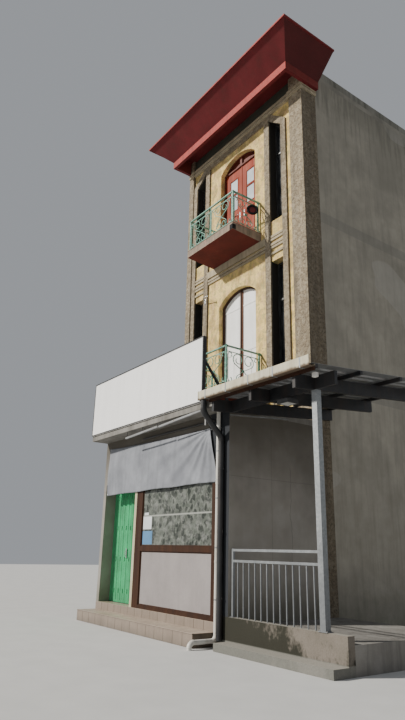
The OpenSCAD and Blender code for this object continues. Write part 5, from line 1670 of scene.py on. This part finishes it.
class SHOP_OT_fit_rear(bpy.types.Operator):
    """Fit sills to the rear windows, and the handle, hinges and panels to the back door"""

    bl_idname = "corner_shop.fit_rear"
    bl_label = "Rear Side"

    def execute(self, context):
        low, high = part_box("back_door")
        face, middle = low.y + 0.04, (low.x + high.x) / 2
        x, z = low.x + 0.12, low.z + 1.08
        handle = Shape().box(about(x, 0.018), (face, face + 0.005),
                             (low.z + 0.95, low.z + 1.15), 0.002)
        handle.tube([(x, face, z), (x, face + 0.04, z), (x + 0.11, face + 0.045, z)], 0.008, 10)
        handle.piece("back_door_handle", "bright_steel", True)
        hinge = Shape().lathe((0, 0, -0.05), UP, [
            (0.005, 0.0), (0.008, 0.004), (0.008, 0.048), (0.006, 0.05), (0.008, 0.052),
            (0.008, 0.096), (0.005, 0.1)], 10)
        start = (high.x - 0.045, face + 0.004, low.z + 0.3)
        in_rows("back_door_hinges", "dark_steel", hinge, start, 1, (1, 0, 0), 3, (0, 0, 0.72),
                smooth=True)
        panels, sills = Shape(), Shape()
        for bottom, top in ((0.15, 0.85), (1.25, 1.95)):
            for x in ((low.x + 0.16, middle - 0.03), (middle + 0.03, high.x - 0.12)):
                panels.box(x, (face - 0.001, face + 0.006), (low.z + bottom, low.z + top), 0.004)
        panels.piece("back_door_panels", "back_door_paint")
        low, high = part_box("rear_wall")
        middle, rear, off, half = (low.x + high.x) / 2, high.y, 1.08, 0.64
        ground_sill, upper_sills = 1.32, (5.91, 9.98)
        places = [(middle - off, ground_sill)]
        places += [(middle + side * off, z) for z in upper_sills for side in (-1, 1)]
        outline = ((-0.04, 0.012), (0.03, 0.002), (0.03, -0.035), (0.022, -0.035),
                   (0.022, -0.03), (0.0, -0.03), (0.0, -0.001), (-0.04, -0.001))
        for x, z in places:
            sills.section([(rear + a, z + b) for a, b in outline], about(x, half))
        sills.piece("rear_sills", "moulding_stone")
        return {"FINISHED"}


class SHOP_OT_set_stage(bpy.types.Operator):
    """Lay the pale floor, and set the soft light and the camera"""

    bl_idname = "corner_shop.set_stage"
    bl_label = "Stage"

    def execute(self, context):
        stage = settings().stage
        self.lay_floor(stage.floor_size / 2)
        self.set_light(stage)
        self.set_camera(stage.lens)
        return {"FINISHED"}

    def lay_floor(self, half):
        """Pale floor, just under the building."""
        ground = bmesh.new()
        corners = rectangle(about(0, half), about(0, half))
        ground.faces.new([ground.verts.new((x, y, -0.001)) for x, y in corners])
        floor = link_object("pale_floor", mesh_data("pale_floor", ground))
        t = Coat("pale_floor")
        grain = t.span(t.noise(t.place, 2.0, 3.0), 0.3, 0.7)
        t.start((0.55, 0.55, 0.54), (0.51, 0.51, 0.50), grain)
        floor.data.materials.append(t.close(0.8))

    def set_light(self, stage):
        """Pale sky all round, and a warm key light from the front left."""
        world = bpy.data.worlds.new("pale_sky")
        world.use_nodes = True
        back = world.node_tree.nodes["Background"]
        back.inputs["Color"].default_value = (0.86, 0.90, 0.96, 1.0)
        back.inputs["Strength"].default_value = stage.sky
        bpy.context.scene.world = world
        key = bpy.data.lights.new("key_light", "SUN")
        key.energy = stage.key
        key.angle = math.radians(2.5)
        key.color = (1.0, 0.955, 0.88)
        lamp = link_object("key_light", key)
        shines = Vector((0.455, 0.9, -0.65))
        lamp.rotation_euler = shines.to_track_quat("-Z", "Y").to_euler()
        lamp.location = (-8.0, -16.0, 20.0)

    def set_camera(self, focal_length):
        """The street view that the photo was taken from."""
        eye = (10.50, -8.51, 1.466)
        yaw, pitch, roll = (math.radians(turn) for turn in (54.5, 18.3, 1.4))
        level = Vector((-math.sin(yaw), math.cos(yaw), 0.0))
        across = Vector((math.cos(yaw), math.sin(yaw), 0.0))
        up = Vector((0.0, 0.0, 1.0))
        forward = math.cos(pitch) * level + math.sin(pitch) * up
        above = -math.sin(pitch) * level + math.cos(pitch) * up
        right = math.cos(roll) * across + math.sin(roll) * above
        above = -math.sin(roll) * across + math.cos(roll) * above
        turn = Matrix((right, above, -forward)).transposed()
        lens = bpy.data.cameras.new("street_view")
        lens.sensor_width = 36.0
        lens.lens = focal_length
        lens.clip_end = 400.0
        camera = link_object("street_view", lens)
        camera.matrix_world = Matrix.Translation(eye) @ turn.to_4x4()
        bpy.context.scene.camera = camera


STEPS_IN_ORDER = (
    SHOP_OT_dress_solids, SHOP_OT_hang_banner, SHOP_OT_trim_sign, SHOP_OT_trim_roof_edge,
    SHOP_OT_glaze_shop, SHOP_OT_tile_steps, SHOP_OT_fit_shutter, SHOP_OT_ornament_railings,
    SHOP_OT_edge_balconies, SHOP_OT_hang_ring, SHOP_OT_fit_balcony_doors, SHOP_OT_fit_wall_bracket,
    SHOP_OT_fit_canopy, SHOP_OT_fit_terrace_railing, SHOP_OT_fit_lamp, SHOP_OT_clip_pipes,
    SHOP_OT_fit_rear, SHOP_OT_set_stage,
)


class SHOP_PT_panel(bpy.types.Panel):
    """Lists the pieces of the corner shop building and their settings."""

    bl_idname = "SHOP_PT_panel"
    bl_label = "Corner Shop Building"
    bl_space_type = "VIEW_3D"
    bl_region_type = "UI"
    bl_category = "Corner Shop"

    def draw(self, context):
        shop = context.scene.corner_shop
        for group in (shop.paints, shop.shopfront, shop.facade, shop.stage):
            box = self.layout.box()
            for name in group.__annotations__:
                box.prop(group, name)
        for step in STEPS_IN_ORDER:
            self.layout.operator(step.bl_idname)


CLASSES = (
    PaintSettings, ShopfrontSettings, FacadeSettings, StageSettings, CornerShopSettings,
    *STEPS_IN_ORDER, SHOP_PT_panel,
)


def register():
    for item in CLASSES:
        bpy.utils.register_class(item)
    bpy.types.Scene.corner_shop = PointerProperty(type=CornerShopSettings)


def unregister():
    del bpy.types.Scene.corner_shop
    for item in reversed(CLASSES):
        bpy.utils.unregister_class(item)


def main():
    register()
    for step in STEPS_IN_ORDER:
        group, name = step.bl_idname.split(".")
        getattr(getattr(bpy.ops, group), name)()


if __name__ == "__main__":
    main()
